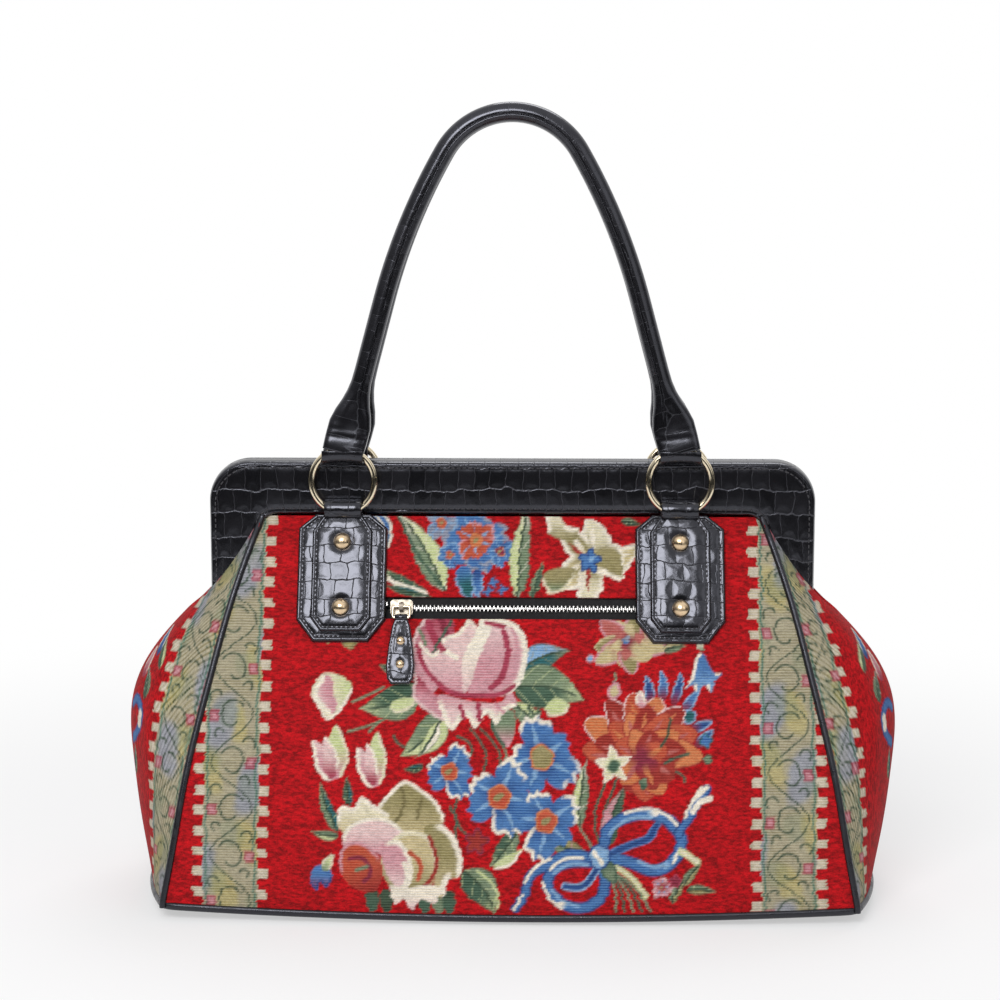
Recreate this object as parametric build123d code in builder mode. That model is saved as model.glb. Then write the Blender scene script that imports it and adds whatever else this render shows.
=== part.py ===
from build123d import *
from collections import namedtuple
from math import asin, atan, cos, degrees, radians, sin, sqrt
import os

os.makedirs("parts", exist_ok=True)

# A carpet-cloth satchel that stands on its base.
# X runs along the mouth, Y from the zip side to the plain side, Z up.

# Cloth body, measured between the piped seams
cloth = 2.2
base_length = 394.0
base_depth = 162.0
mouth_length = 292.0
mouth_depth = 28.0
body_height = 213.0
belly = 49.0
crown = 6.0
piping_radius = 1.8
seam_gap = 2.1

# Each level of the body: height, seam length, seam depth, bulge of the gusset, bulge of the panel
level_shares = (
    (0.000, 1.000, 1.000, 0.35, 0.83),
    (0.143, 0.892, 0.933, 0.60, 1.00),
    (0.327, 0.765, 0.799, 0.84, 0.83),
    (0.498, 0.608, 0.627, 1.00, 0.58),
    (0.604, 0.500, 0.509, 0.92, 0.40),
    (0.710, 0.392, 0.379, 0.66, 0.27),
    (0.834, 0.245, 0.218, 0.30, 0.20),
    (1.000, 0.000, 0.000, 0.08, 0.13),
)

# Base and feet
foot_height = 4.5
foot_radius = 6.5
foot_edge_radius = 3.5
foot_stem_radius = 1.6
foot_stem_clearance = 0.1
foot_stem = 6.2
foot_inset_x = 32.0
foot_inset_y = 23.0
base_thickness = 4.2
base_lip = 1.4
base_corner_radius = 7.0
base_edge_radius = 1.8
board_thickness = 2.4
board_inset = 9.0
board_corner_radius = 10.0
layer_gap = 0.3

# Hinged frame: a steel strip inside a padded leather cover, one U for each side
frame_width = 356.0
frame_top = 255.5
band_height = 32.5
leg_width = 32.0
leg_bottom = 171.5
frame_outer_radius = 24.0
frame_inner_radius = 9.0
cover_gap = 0.6
cover_thickness = 10.4
cover_edge_radius = 2.2
bar_thickness = 2.4
bar_width = 12.0
bar_inset = 6.5
bar_face = 4.6
bar_outer_radius = 18.0
bar_inner_radius = 6.0
bar_clearance = 0.1
hinge_height = 163.5
lug_radius = 4.2
lug_thickness = 2.0
lug_gap = 0.2
lug_inset = 1.1
pin_radius = 2.0
pin_clearance = 0.05
pin_head_radius = 3.4
pin_head = 1.2
leg_room = 0.5
magnet_radius = 6.0
magnet_thickness = 2.0
magnet_clearance = 0.2
magnet_spacing = 120.0

# Chape patches, tabs and studs
ring_spacing = 196.0
patch_width = 52.0
patch_height = 71.0
patch_thickness = 3.2
patch_top_cut_x = 11.0
patch_top_cut_y = 9.0
patch_low_cut_x = 10.0
patch_low_cut_y = 13.0
patch_middle = 186.6
patch_edge_radius = 1.2
seat_gap = 0.5
seat_span = 50.0
tab_width = 35.0
tab_height = 58.0
tab_cut_x = 6.0
tab_cut_y = 8.0
tab_shoulder = 7.0
tab_thickness = 2.6
tab_drop = 1.0
stud_radius = 5.0
stud_height = 3.4
stud_pitch = 39.0
stud_rise = 3.7
stud_stem_radius = 1.5
stud_stem_clearance = 0.1

# O-rings and the straps that loop round them
ring_radius = 18.4
ring_wire = 1.9
strap_width = 21.5
loop_bore = 4.4
loop_wall = 1.6
loop_clearance = 0.4
ring_low_axis = 227.6

# Handles
handle_radius = 5.7
handle_gap = 0.4
leg_length = 91.0
leg_lean = 15.0
shoulder_angle = 30.0
grip_radius = 45.0
# Each flare section: way up the leg, half width, half thickness, how far it has turned to the leg
flare_length = 42.0
flare_shares = (
    (0.125, 1.86, 0.56, 0.0),
    (0.42, 2.15, 0.84, 0.7),
    (0.72, 1.42, 1.02, 1.0),
    (1.00, 1.03, 0.97, 1.0),
)

# Zip
zip_height = 173.0
window_length = 174.0
window_height = 13.0
window_corner = 1.0
tape_tail = 7.0
tape_width = 11.0
tape_thickness = 0.7
tape_edge = 0.8
tape_depth = 2.8
tooth_pitch = 2.3
tooth_width = 1.0
tooth_reach = 0.9
tooth_root = 3.2
tooth_height = 2.2
tooth_spread = 2.0
chain_room = 8.0
slider_room = 24.0
slider_length = 13.0
slider_width = 9.2
slider_plate = 1.2
slider_wall = 1.0
slider_clearance = 0.2
slider_post_length = 2.4
slider_post_width = 1.2
slider_corner = 2.0
open_pairs = 2
stop_length = 2.6
stop_room = 0.8

# Pull of the zip
lug_plate = 2.4
lug_depth = 5.0
pull_axis_height = 3.4
pull_wire = 0.8
pull_clearance = 0.05
bail_half_width = 4.9
bail_corner = 1.2
bail_drop = 6.4
pull_loop_wall = 1.1
pull_loop_width = 7.0
pull_length = 38.0
pull_top_width = 10.0
pull_low_width = 16.6
pull_wide_share = 0.72
pull_thickness = 2.2
pull_stud_radius = 2.5
pull_stud_height = 1.4
pull_stud_place_shares = (0.34, 0.70)

# Lining and zip pocket
lining = 0.8
lining_gap = 6.9
pocket_lap = 5.0
pocket_drop = 94.3
pocket_rise = 13.6
pocket_fall = 12.8
pocket_wall = 0.6
pocket_front = 2.9
pocket_back = 5.6

# The zip's parts keep their places in the window
zip_length = window_length + 2 * tape_tail
chain_end = window_length / 2 - chain_room
slider_place = slider_room - window_length / 2
pocket_half_length = window_length / 2 + pocket_lap

base_top = foot_height + base_thickness + layer_gap
Level = namedtuple("Level", "z x y belly crown")
levels = [
    Level(
        base_top + high * body_height,
        (mouth_length + long * (base_length - mouth_length)) / 2,
        (mouth_depth + deep * (base_depth - mouth_depth)) / 2,
        bulge * belly,
        swell * crown,
    )
    for high, long, deep, bulge, swell in level_shares
]


def span(z):
    """The levels below and above this height, or the two at that end, and the share of the way up."""
    index = max(i for i, level in enumerate(levels[:-1]) if i == 0 or level.z <= z)
    below, above = levels[index], levels[index + 1]
    return below, above, (z - below.z) / (above.z - below.z)


def level_at(z):
    """The body's section at any height."""
    below, above, share = span(z)
    return Level(*(low + share * (high - low) for low, high in zip(below, above)))


def levels_between(low, high):
    """The body's sections from one height to another, both ends included."""
    return [level_at(low)] + [level for level in levels if low < level.z < high] + [level_at(high)]


def front_depth(z, x=0.0):
    """How far the front panel stands out from the middle of the bag at this height and place."""
    below, above, share = span(z)
    low = below.y + below.crown * (1 - (x / below.x) ** 2)
    high = above.y + above.crown * (1 - (x / above.x) ** 2)
    return low + share * (high - low)


def panel_plane(z, x, lift):
    """A plane lying on the front panel, facing outwards, raised off it by lift."""
    step = seat_span / 2
    slope = atan((front_depth(z - step, x) - front_depth(z + step, x)) / (2 * step))
    on_panel = Vector(x, -front_depth(z, x), z)
    out = Vector(0, -cos(slope), sin(slope))
    return Plane(on_panel + out * lift, x_dir=(1, 0, 0), z_dir=out)


def sheet_section(level, side, near, far, half_length):
    """Thin section of a sheet that follows the front (side -1) or rear (side 1) panel."""
    with BuildSketch(Plane.XY.offset(level.z)) as section:
        with BuildLine():
            swell = level.crown * (half_length / level.x) ** 2
            corner = level.y + level.crown - swell
            middle = level.y + level.crown
            start = (-half_length, side * (corner - near))
            outer = ThreePointArc(start, (0, side * (middle - near)), (half_length, side * (corner - near)))
            turn = (half_length, side * (corner - far))
            inner = ThreePointArc(turn, (0, side * (middle - far)), (-half_length, side * (corner - far)))
            Line(outer @ 1, inner @ 0)
            Line(inner @ 1, outer @ 0)
        make_face()
    return section.sketch


def gusset_section(level):
    """Thin section of the right gusset, an arc from seam to seam."""
    along = Vector(level.belly, level.y).normalized()
    start_x = level.x + seam_gap * along.X
    start_y = level.y - seam_gap * along.Y
    reach = level.x + level.belly
    sag = reach - start_x
    radius = (start_y**2 + sag**2) / (2 * sag)
    inner = (radius - cloth) / radius
    inner_x = reach - radius + (start_x - reach + radius) * inner
    inner_y = start_y * inner
    with BuildSketch(Plane.XY.offset(level.z)) as section:
        with BuildLine():
            outside = ThreePointArc((start_x, -start_y), (reach, 0), (start_x, start_y))
            inside = ThreePointArc((inner_x, inner_y), (reach - cloth, 0), (inner_x, -inner_y))
            Line(outside @ 1, inside @ 0)
            Line(inside @ 1, outside @ 0)
        make_face()
    return section.sketch


def loop_section(z, half_length, half_depth, side_bulge, swell, inset):
    """Closed section of the body: four shallow arcs that meet at the seams."""
    x = half_length - inset
    y = half_depth - inset
    with BuildSketch(Plane.XY.offset(z)) as section:
        with BuildLine():
            front = ThreePointArc((-x, -y), (0, -y - swell), (x, -y))
            right = ThreePointArc(front @ 1, (x + side_bulge, 0), (x, y))
            rear = ThreePointArc(right @ 1, (0, y + swell), (-x, y))
            ThreePointArc(rear @ 1, (-x - side_bulge, 0), front @ 0)
        make_face()
    return section.sketch


def save(shape, name):
    shape.label = name
    export_step(shape, f"parts/{name}.step")


zip_plane = panel_plane(zip_height, 0.0, 0.0)

with BuildPart() as front_panel:
    loft([sheet_section(level, -1, 0, cloth, level.x - seam_gap) for level in levels])
    with BuildSketch(zip_plane):
        RectangleRounded(window_length, window_height, window_corner)
    extrude(amount=2 * cloth, both=True, mode=Mode.SUBTRACT)
save(front_panel.part, "front_panel")

with BuildPart() as rear_panel:
    loft([sheet_section(level, 1, 0, cloth, level.x - seam_gap) for level in levels])
save(rear_panel.part, "rear_panel")

# The gusset stops where the frame legs come up through it
cover_back = cover_gap + cover_thickness
gusset_top = frame_top - band_height - cover_back
with BuildPart() as right_gusset:
    loft([gusset_section(level) for level in levels])
    with BuildSketch(Plane.XY.offset(leg_bottom - leg_room)):
        with Locations(((frame_width - leg_width) / 2, 0)):
            Rectangle(leg_width + 2 * leg_room, 2 * (cover_back + leg_room))
    extrude(amount=frame_top, mode=Mode.SUBTRACT)
    with BuildSketch(Plane.XY.offset(gusset_top)):
        Rectangle(2 * frame_width, 2 * base_depth)
    extrude(amount=frame_top, mode=Mode.SUBTRACT)
save(right_gusset.part, "right_gusset")
save(mirror(right_gusset.part, about=Plane.YZ), "left_gusset")

for end, x_sign in (("left", -1), ("right", 1)):
    for face, y_sign in (("front", -1), ("rear", 1)):
        rounds = []
        for level in levels:
            with BuildSketch(Plane((x_sign * level.x, y_sign * level.y, level.z))) as cord:
                Circle(piping_radius)
            rounds.append(cord.sketch)
        with BuildPart() as piping:
            loft(rounds)
        save(piping.part, f"{face}_{end}_piping")

foot = levels[0]
foot_places = GridLocations(base_length - 2 * foot_inset_x, base_depth - 2 * foot_inset_y, 2, 2).locations
with BuildPart() as base_panel:
    with BuildSketch(Plane.XY.offset(foot_height)) as sole:
        add(loop_section(0, foot.x, foot.y, foot.belly, foot.crown, -base_lip))
        fillet(sole.vertices(), base_corner_radius)
    extrude(amount=base_thickness)
    fillet(base_panel.faces().sort_by(Axis.Z)[0].edges(), base_edge_radius)
    with BuildSketch(Plane.XY.offset(foot_height)):
        with Locations(*foot_places):
            Circle(foot_stem_radius + foot_stem_clearance)
    extrude(amount=base_thickness, mode=Mode.SUBTRACT)
save(base_panel.part, "base_panel")

with BuildPart() as base_board:
    with BuildSketch(Plane.XY.offset(base_top)) as card:
        add(loop_section(0, foot.x, foot.y, foot.belly, foot.crown, board_inset))
        fillet(card.vertices(), board_corner_radius)
        with Locations(*foot_places):
            Circle(foot_stem_radius + foot_stem_clearance, mode=Mode.SUBTRACT)
    extrude(amount=board_thickness)
save(base_board.part, "base_board")

with BuildPart() as base_feet:
    with Locations(*foot_places):
        Cylinder(foot_radius, foot_height, align=(Align.CENTER, Align.CENTER, Align.MIN))
    fillet(base_feet.faces().group_by(Axis.Z)[0].edges(), foot_edge_radius)
    with BuildSketch(Plane.XY.offset(foot_height)):
        with Locations(*foot_places):
            Circle(foot_stem_radius)
    extrude(amount=foot_stem)
save(base_feet.part, "base_feet")

# The lining hangs inside the frame legs, so it draws in above the fullest level
throat = mouth_length / 2
lining_levels = [
    (level.z, level.x, level.y, level.belly, level.crown)
    if level.belly + level.x > level.y + throat and level.z < hinge_height - belly
    else (level.z, throat + cloth, level.y, level.crown, level.crown)
    for level in levels
]
board_top = base_top + board_thickness + layer_gap
with BuildPart() as lining_bag:
    for thickness, floor, mode in ((0.0, 0.0, Mode.ADD), (lining, lining, Mode.SUBTRACT)):
        low, *rest = lining_levels
        hem = [(board_top + floor, *low[1:])] + rest
        loft([loop_section(*place, lining_gap + thickness) for place in hem], ruled=True, mode=mode)
save(lining_bag.part, "lining")

# The pocket is one cloth folded at its foot: the back layer hangs from the upper tape, the front from the lower
pocket_foot = zip_height - pocket_drop
with BuildPart() as zip_pocket:
    loft(
        [
            sheet_section(level, -1, pocket_back, pocket_back + pocket_wall, pocket_half_length)
            for level in levels_between(pocket_foot, zip_height + pocket_rise)
        ]
    )
    loft(
        [
            sheet_section(level, -1, pocket_front, pocket_front + pocket_wall, pocket_half_length)
            for level in levels_between(pocket_foot, zip_height - pocket_fall)
        ]
    )
    fold = sheet_section(
        level_at(pocket_foot), -1, pocket_front, pocket_back + pocket_wall, pocket_half_length
    )
    extrude(fold, amount=-pocket_wall)
save(zip_pocket.part, "zip_pocket")


def frame_outline(width, top, strip, bottom, outer_radius, inner_radius):
    """Inverted U of even width, legs down to bottom, on the upright plane through the middle of the bag."""
    half = width / 2
    with BuildSketch() as outline:
        with BuildLine():
            Polyline(
                (-half, bottom),
                (-half, top),
                (half, top),
                (half, bottom),
                (half - strip, bottom),
                (half - strip, top - strip),
                (strip - half, top - strip),
                (strip - half, bottom),
                close=True,
            )
        make_face()
        fillet(outline.vertices().group_by(Axis.Y)[1], inner_radius)
        fillet(outline.vertices().group_by(Axis.Y)[-1], outer_radius)
    return outline.sketch


bar_frame_width = frame_width - 2 * bar_inset
bar_top = frame_top - bar_inset
lug_place = bar_frame_width / 2 - bar_width + lug_inset
magnet_height = frame_top - band_height / 2
with BuildPart() as front_frame_cover:
    with BuildSketch(Plane.XZ.offset(cover_gap)):
        add(
            frame_outline(
                frame_width, frame_top, leg_width, leg_bottom, frame_outer_radius, frame_inner_radius
            )
        )
    extrude(amount=cover_thickness)
    fillet(front_frame_cover.faces().sort_by(Axis.Y)[0].edges(), cover_edge_radius)
    with BuildSketch(Plane.XZ.offset(bar_face - bar_clearance)):
        add(
            frame_outline(
                bar_frame_width + 2 * bar_clearance,
                bar_top + bar_clearance,
                bar_width + 2 * bar_clearance,
                leg_bottom - bar_clearance,
                bar_outer_radius + bar_clearance,
                bar_inner_radius - bar_clearance,
            )
        )
    extrude(amount=bar_thickness + 2 * bar_clearance, mode=Mode.SUBTRACT)
    with BuildSketch(Plane.XZ.offset(cover_gap)):
        with Locations((0, magnet_height)):
            with GridLocations(magnet_spacing, 0, 2, 1):
                Circle(magnet_radius + magnet_clearance)
    extrude(amount=magnet_thickness + magnet_clearance, mode=Mode.SUBTRACT)
save(front_frame_cover.part, "front_frame_cover")
save(mirror(front_frame_cover.part, about=Plane.XZ), "rear_frame_cover")

with BuildPart() as front_magnets:
    with BuildSketch(Plane.XZ.offset(cover_gap)):
        with Locations((0, magnet_height)):
            with GridLocations(magnet_spacing, 0, 2, 1):
                Circle(magnet_radius)
    extrude(amount=magnet_thickness)
save(front_magnets.part, "front_magnets")
save(mirror(front_magnets.part, about=Plane.XZ), "rear_magnets")

# Each bar ends in lugs that reach across to the hinge pin; the two halves' lugs lie side by side on it
for face, y_sign, lug_start in (
    ("front", -1, lug_place),
    ("rear", 1, lug_place + lug_thickness + lug_gap),
):
    with BuildPart() as frame_bar:
        with BuildSketch(Plane.XZ.offset(bar_face)):
            add(
                frame_outline(
                    bar_frame_width,
                    bar_top,
                    bar_width,
                    hinge_height - lug_radius,
                    bar_outer_radius,
                    bar_inner_radius,
                )
            )
        extrude(amount=bar_thickness)
        for x_sign in (-1, 1):
            with BuildSketch(Plane.YZ.offset(x_sign * lug_start)):
                with Locations((-(bar_face + bar_thickness) / 2, hinge_height)):
                    Rectangle(bar_face + bar_thickness, 2 * lug_radius)
                with Locations((0, hinge_height)):
                    Circle(lug_radius)
                    Circle(pin_radius + pin_clearance, mode=Mode.SUBTRACT)
            extrude(amount=x_sign * lug_thickness)
    flipped = frame_bar.part if face == "front" else mirror(frame_bar.part, about=Plane.XZ)
    save(flipped, f"{face}_frame_bar")

pin_start = lug_place - lug_gap
pin_length = 2 * lug_thickness + 3 * lug_gap
with BuildPart() as right_hinge_pin:
    with BuildSketch(Plane.YZ.offset(pin_start)):
        with Locations((0, hinge_height)):
            Circle(pin_radius)
    extrude(amount=pin_length)
    for start, way in ((pin_start, -1), (pin_start + pin_length, 1)):
        with BuildSketch(Plane.YZ.offset(start)):
            with Locations((0, hinge_height)):
                Circle(pin_head_radius)
        extrude(amount=way * pin_head)
save(right_hinge_pin.part, "right_hinge_pin")
save(mirror(right_hinge_pin.part, about=Plane.YZ), "left_hinge_pin")

# The ring's wire curves inside each strap loop, so the turning axes lie midway through that curve
strap_rise = ring_radius - sqrt(ring_radius**2 - (strap_width / 2) ** 2)
axis_reach = ring_radius - strap_rise / 2
loop_radius = loop_bore + loop_wall
ring_y = cover_back + loop_clearance + loop_radius
ring_middle = ring_low_axis + axis_reach
ring_high_axis = ring_middle + axis_reach


def octagon(width, height, top_x, top_y, low_x, low_y):
    """Upright panel with its four corners cut off."""
    half = width / 2
    tall = height / 2
    with BuildSketch() as outline:
        with BuildLine():
            Polyline(
                (-half, low_y - tall),
                (-half, tall - top_y),
                (top_x - half, tall),
                (half - top_x, tall),
                (half, tall - top_y),
                (half, low_y - tall),
                (half - low_x, -tall),
                (low_x - half, -tall),
                close=True,
            )
        make_face()
    return outline.sketch


cap_radius = (stud_radius**2 + stud_height**2) / (2 * stud_height)
cap_latitude = degrees(asin((cap_radius - stud_height) / cap_radius))
for end, x_sign in (("left", -1), ("right", 1)):
    place = x_sign * ring_spacing / 2
    patch_plane = panel_plane(patch_middle, place, seat_gap)
    tab_plane = patch_plane.offset(patch_thickness)
    stud_plane = tab_plane.offset(tab_thickness)

    with BuildPart() as patch:
        with BuildSketch(patch_plane):
            add(
                octagon(
                    patch_width,
                    patch_height,
                    patch_top_cut_x,
                    patch_top_cut_y,
                    patch_low_cut_x,
                    patch_low_cut_y,
                )
            )
        extrude(amount=patch_thickness)
        outwards = Axis(patch_plane.origin, patch_plane.z_dir)
        fillet(patch.faces().sort_by(outwards)[-1].edges(), patch_edge_radius)
        with BuildSketch(patch_plane):
            with Locations((0, stud_rise)):
                with GridLocations(0, stud_pitch, 1, 2):
                    Circle(stud_stem_radius + stud_stem_clearance)
        extrude(amount=patch_thickness, mode=Mode.SUBTRACT)
    save(patch.part, f"front_{end}_patch")
    save(mirror(patch.part, about=Plane.XZ), f"rear_{end}_patch")

    loop_axis = Plane((place, -ring_y, ring_low_axis), x_dir=(0, 1, 0), z_dir=(1, 0, 0))
    neck_top = tab_plane.to_local_coords(Vector(place, -ring_y, ring_low_axis)).Y
    with BuildPart() as tab:
        with BuildSketch(tab_plane):
            with Locations((0, -tab_drop)):
                add(
                    octagon(
                        tab_width,
                        tab_height,
                        (tab_width - strap_width) / 2,
                        tab_shoulder,
                        tab_cut_x,
                        tab_cut_y,
                    )
                )
            with Locations((0, neck_top / 2)):
                Rectangle(strap_width, neck_top)
        extrude(amount=tab_thickness)
        with BuildSketch(loop_axis):
            Circle(loop_radius)
        extrude(amount=strap_width / 2, both=True)
        with BuildSketch(loop_axis):
            Circle(loop_bore)
        extrude(amount=strap_width, both=True, mode=Mode.SUBTRACT)
        with BuildSketch(tab_plane):
            with Locations((0, stud_rise)):
                with GridLocations(0, stud_pitch, 1, 2):
                    Circle(stud_stem_radius + stud_stem_clearance)
        extrude(amount=tab_thickness, mode=Mode.SUBTRACT)
    save(tab.part, f"front_{end}_tab")
    save(mirror(tab.part, about=Plane.XZ), f"rear_{end}_tab")

    with BuildPart(stud_plane) as studs:
        with Locations((0, stud_rise)):
            with GridLocations(0, stud_pitch, 1, 2):
                Cylinder(
                    stud_stem_radius,
                    tab_thickness + patch_thickness,
                    align=(Align.CENTER, Align.CENTER, Align.MAX),
                )
                Sphere(
                    cap_radius,
                    arc_size1=cap_latitude,
                    align=(Align.CENTER, Align.CENTER, Align.MIN),
                )
    save(studs.part, f"front_{end}_studs")
    save(mirror(studs.part, about=Plane.XZ), f"rear_{end}_studs")

    with BuildPart(Plane((place, -ring_y, ring_middle), x_dir=(1, 0, 0), z_dir=(0, -1, 0))) as ring:
        Torus(ring_radius, ring_wire)
    save(ring.part, f"front_{end}_ring")
    save(mirror(ring.part, about=Plane.XZ), f"rear_{end}_ring")

# Handle: straight legs, long shoulder arcs and a short arc at the grip.
# Its plane leans to the other handle.
lean = radians(leg_lean)
shoulder = radians(shoulder_angle)
half_span = ring_spacing / 2
shoulder_run = half_span - leg_length * sin(lean) - grip_radius * cos(shoulder)
shoulder_radius = shoulder_run / (cos(lean) - cos(shoulder))
handle_rise = (
    leg_length * cos(lean)
    + shoulder_radius * (sin(shoulder) - sin(lean))
    + grip_radius * (1 - sin(shoulder))
)
tilt = asin((ring_y - handle_radius - handle_gap) / handle_rise)
handle_up = Vector(0, sin(tilt), cos(tilt))
handle_plane = Plane(
    (0, -ring_y, ring_high_axis), x_dir=(1, 0, 0), z_dir=Vector(0, -cos(tilt), sin(tilt))
)
with BuildPart() as front_handle:
    with BuildLine(handle_plane) as half_route:
        rise = Line(
            (-half_span + flare_length * sin(lean), flare_length * cos(lean)),
            (-half_span + leg_length * sin(lean), leg_length * cos(lean)),
        )
        bend = JernArc(rise @ 1, rise % 1, shoulder_radius, -(shoulder_angle - leg_lean))
        top = JernArc(bend @ 1, bend % 1, grip_radius, -2 * (90 - shoulder_angle))
        far_bend = JernArc(top @ 1, top % 1, shoulder_radius, -(shoulder_angle - leg_lean))
        Line(far_bend @ 1, (half_span - flare_length * sin(lean), flare_length * cos(lean)))
    with BuildSketch(Plane(half_route.line @ 0, z_dir=half_route.line % 0)):
        Circle(handle_radius)
    sweep()
    for x_sign in (-1, 1):
        across = Vector(1, 0, 0)
        leg_way = across * (-x_sign * sin(lean)) + handle_up * cos(lean)
        low_end = Vector(x_sign * half_span, -ring_y, ring_high_axis)
        for way, wide, thick, turned in flare_shares:
            middle = low_end + leg_way * (way * flare_length)
            facing = handle_up * (1 - turned) + leg_way * turned
            sideways = facing.cross(handle_plane.z_dir)
            with BuildSketch(Plane(middle, x_dir=sideways, z_dir=facing)):
                SlotOverall(2 * wide * handle_radius, 2 * thick * handle_radius)
        loft()
        with BuildSketch(Plane(low_end, x_dir=(0, 1, 0), z_dir=(1, 0, 0))):
            Circle(loop_radius)
        extrude(amount=strap_width / 2, both=True)
        with BuildSketch(Plane(low_end, x_dir=(0, 1, 0), z_dir=(1, 0, 0))):
            Circle(loop_bore)
        extrude(amount=strap_width, both=True, mode=Mode.SUBTRACT)
save(front_handle.part, "front_handle")
save(mirror(front_handle.part, about=Plane.XZ), "rear_handle")

# Zip, built on the plane of the front panel: x along the chain, y up the panel, z out of it
tape_front = zip_plane.offset(-tape_depth)
for half, y_sign in (("upper", 1), ("lower", -1)):
    with BuildPart() as tape:
        with BuildSketch(tape_front):
            with Locations((0, y_sign * (tape_edge + tape_width / 2))):
                Rectangle(zip_length, tape_width)
        extrude(amount=-tape_thickness)
    save(tape.part, f"zip_{half}_tape")

    tooth_span = tooth_root + tooth_reach
    tooth_middle = y_sign * (tooth_root - tooth_reach) / 2
    shift = 0 if y_sign > 0 else tooth_pitch / 2
    closed_start = slider_place - slider_length / 2 + slider_post_length + 2 * tooth_pitch
    closed_count = int((chain_end - closed_start) / tooth_pitch)
    places = [(closed_start + shift + i * tooth_pitch, tooth_middle) for i in range(closed_count)]
    open_start = slider_place - slider_length / 2 - tooth_pitch
    places += [
        (open_start - shift - i * tooth_pitch, tooth_middle + y_sign * tooth_spread) for i in range(open_pairs)
    ]
    with BuildPart() as teeth:
        with BuildSketch(tape_front):
            with Locations(*places):
                Rectangle(tooth_width, tooth_span)
        extrude(amount=tooth_height)
    save(teeth.part, f"zip_{half}_teeth")

stop_left = open_start - (open_pairs + 1) * tooth_pitch - stop_length / 2 - stop_room
with BuildPart() as zip_stops:
    with BuildSketch(tape_front):
        for y_sign in (-1, 1):
            with Locations((stop_left, y_sign * (tooth_root + tooth_spread) / 2)):
                Rectangle(stop_length, tooth_root)
        with Locations((chain_end + tooth_pitch + stop_length / 2, 0)):
            Rectangle(stop_length, 2 * tooth_root)
    extrude(amount=tooth_height)
save(zip_stops.part, "zip_stops")

# Slider: a plate over the teeth and one behind the tapes, joined by a post between the tapes
slider_middle = Vector(slider_place, 0)
slider_base = zip_plane.offset(tooth_height - tape_depth + slider_clearance)
slider_back = tape_front.offset(-tape_thickness - slider_clearance)
slider_depth = tooth_height + tape_thickness + 2 * slider_clearance
with BuildPart() as zip_slider:
    with BuildSketch(slider_base):
        with Locations(slider_middle):
            RectangleRounded(slider_length, slider_width, slider_corner)
    extrude(amount=slider_plate)
    with BuildSketch(slider_base):
        with Locations(slider_middle):
            with GridLocations(0, slider_width - slider_wall, 1, 2):
                Rectangle(slider_length - 2 * slider_corner, slider_wall)
    extrude(amount=-(tooth_height - slider_clearance))
    with BuildSketch(slider_back):
        with Locations(slider_middle):
            RectangleRounded(slider_length, slider_width, slider_corner)
    extrude(amount=-slider_plate)
    with BuildSketch(slider_base):
        with Locations(slider_middle - Vector(slider_length / 2 - slider_post_length, 0)):
            Rectangle(slider_post_length, slider_post_width)
    extrude(amount=-slider_depth)
    lug_base = tooth_height - tape_depth + slider_clearance + slider_plate
    lug_axis = Plane(
        zip_plane.from_local_coords(Vector(slider_place, 0, pull_axis_height)),
        x_dir=zip_plane.y_dir,
        z_dir=(1, 0, 0),
    )
    with BuildSketch(lug_axis):
        Circle(lug_depth / 2)
        with Locations((0, (lug_base - pull_axis_height) / 2)):
            Rectangle(lug_depth, pull_axis_height - lug_base)
        Circle(pull_wire + pull_clearance, mode=Mode.SUBTRACT)
    extrude(amount=lug_plate / 2, both=True)
save(zip_slider.part, "zip_slider")

# Pull: a wire bail through the slider's lug, and a leather tab looped round the bail's lower bar
bail_low = Vector(slider_place, -bail_drop, pull_axis_height)
low_axis = Plane(zip_plane.from_local_coords(bail_low), x_dir=zip_plane.y_dir, z_dir=(1, 0, 0))
bail_plane = Plane(lug_axis.origin, x_dir=(1, 0, 0), z_dir=zip_plane.z_dir)
bail_turn = bail_half_width - bail_corner
with BuildPart() as zip_pull_bail:
    with BuildLine(bail_plane) as bail_route:
        run = Line((0, 0), (bail_turn, 0))
        turn = JernArc(run @ 1, run % 1, bail_corner, -90)
        run = Line(turn @ 1, (bail_half_width, bail_corner - bail_drop))
        turn = JernArc(run @ 1, run % 1, bail_corner, -90)
        run = Line(turn @ 1, (-bail_turn, -bail_drop))
        turn = JernArc(run @ 1, run % 1, bail_corner, -90)
        run = Line(turn @ 1, (-bail_half_width, -bail_corner))
        turn = JernArc(run @ 1, run % 1, bail_corner, -90)
        Line(turn @ 1, (0, 0))
    with BuildSketch(lug_axis):
        Circle(pull_wire)
    sweep()
save(zip_pull_bail.part, "zip_pull_bail")

pull_loop = pull_wire + pull_clearance + pull_loop_wall
pull_foot = Vector(slider_place, 0, pull_axis_height - pull_thickness / 2)
pull_plane = Plane(zip_plane.from_local_coords(pull_foot), x_dir=(1, 0, 0), z_dir=zip_plane.z_dir)
pull_top = -bail_drop - pull_wire - pull_clearance
wide_y = pull_top - pull_wide_share * pull_length
with BuildPart() as zip_pull_tab:
    with BuildSketch(pull_plane):
        with BuildLine():
            Polyline(
                (-pull_loop_width / 2, pull_top),
                (pull_loop_width / 2, pull_top),
                (pull_top_width / 2, pull_top - pull_loop),
                (pull_low_width / 2, wide_y),
                (pull_top_width / 2, pull_top - pull_length),
                (-pull_top_width / 2, pull_top - pull_length),
                (-pull_low_width / 2, wide_y),
                (-pull_top_width / 2, pull_top - pull_loop),
                close=True,
            )
        make_face()
    extrude(amount=pull_thickness)
    with BuildSketch(low_axis):
        Circle(pull_loop)
        Circle(pull_wire + pull_clearance, mode=Mode.SUBTRACT)
    extrude(amount=pull_loop_width / 2, both=True)
save(zip_pull_tab.part, "zip_pull_tab")

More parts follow.
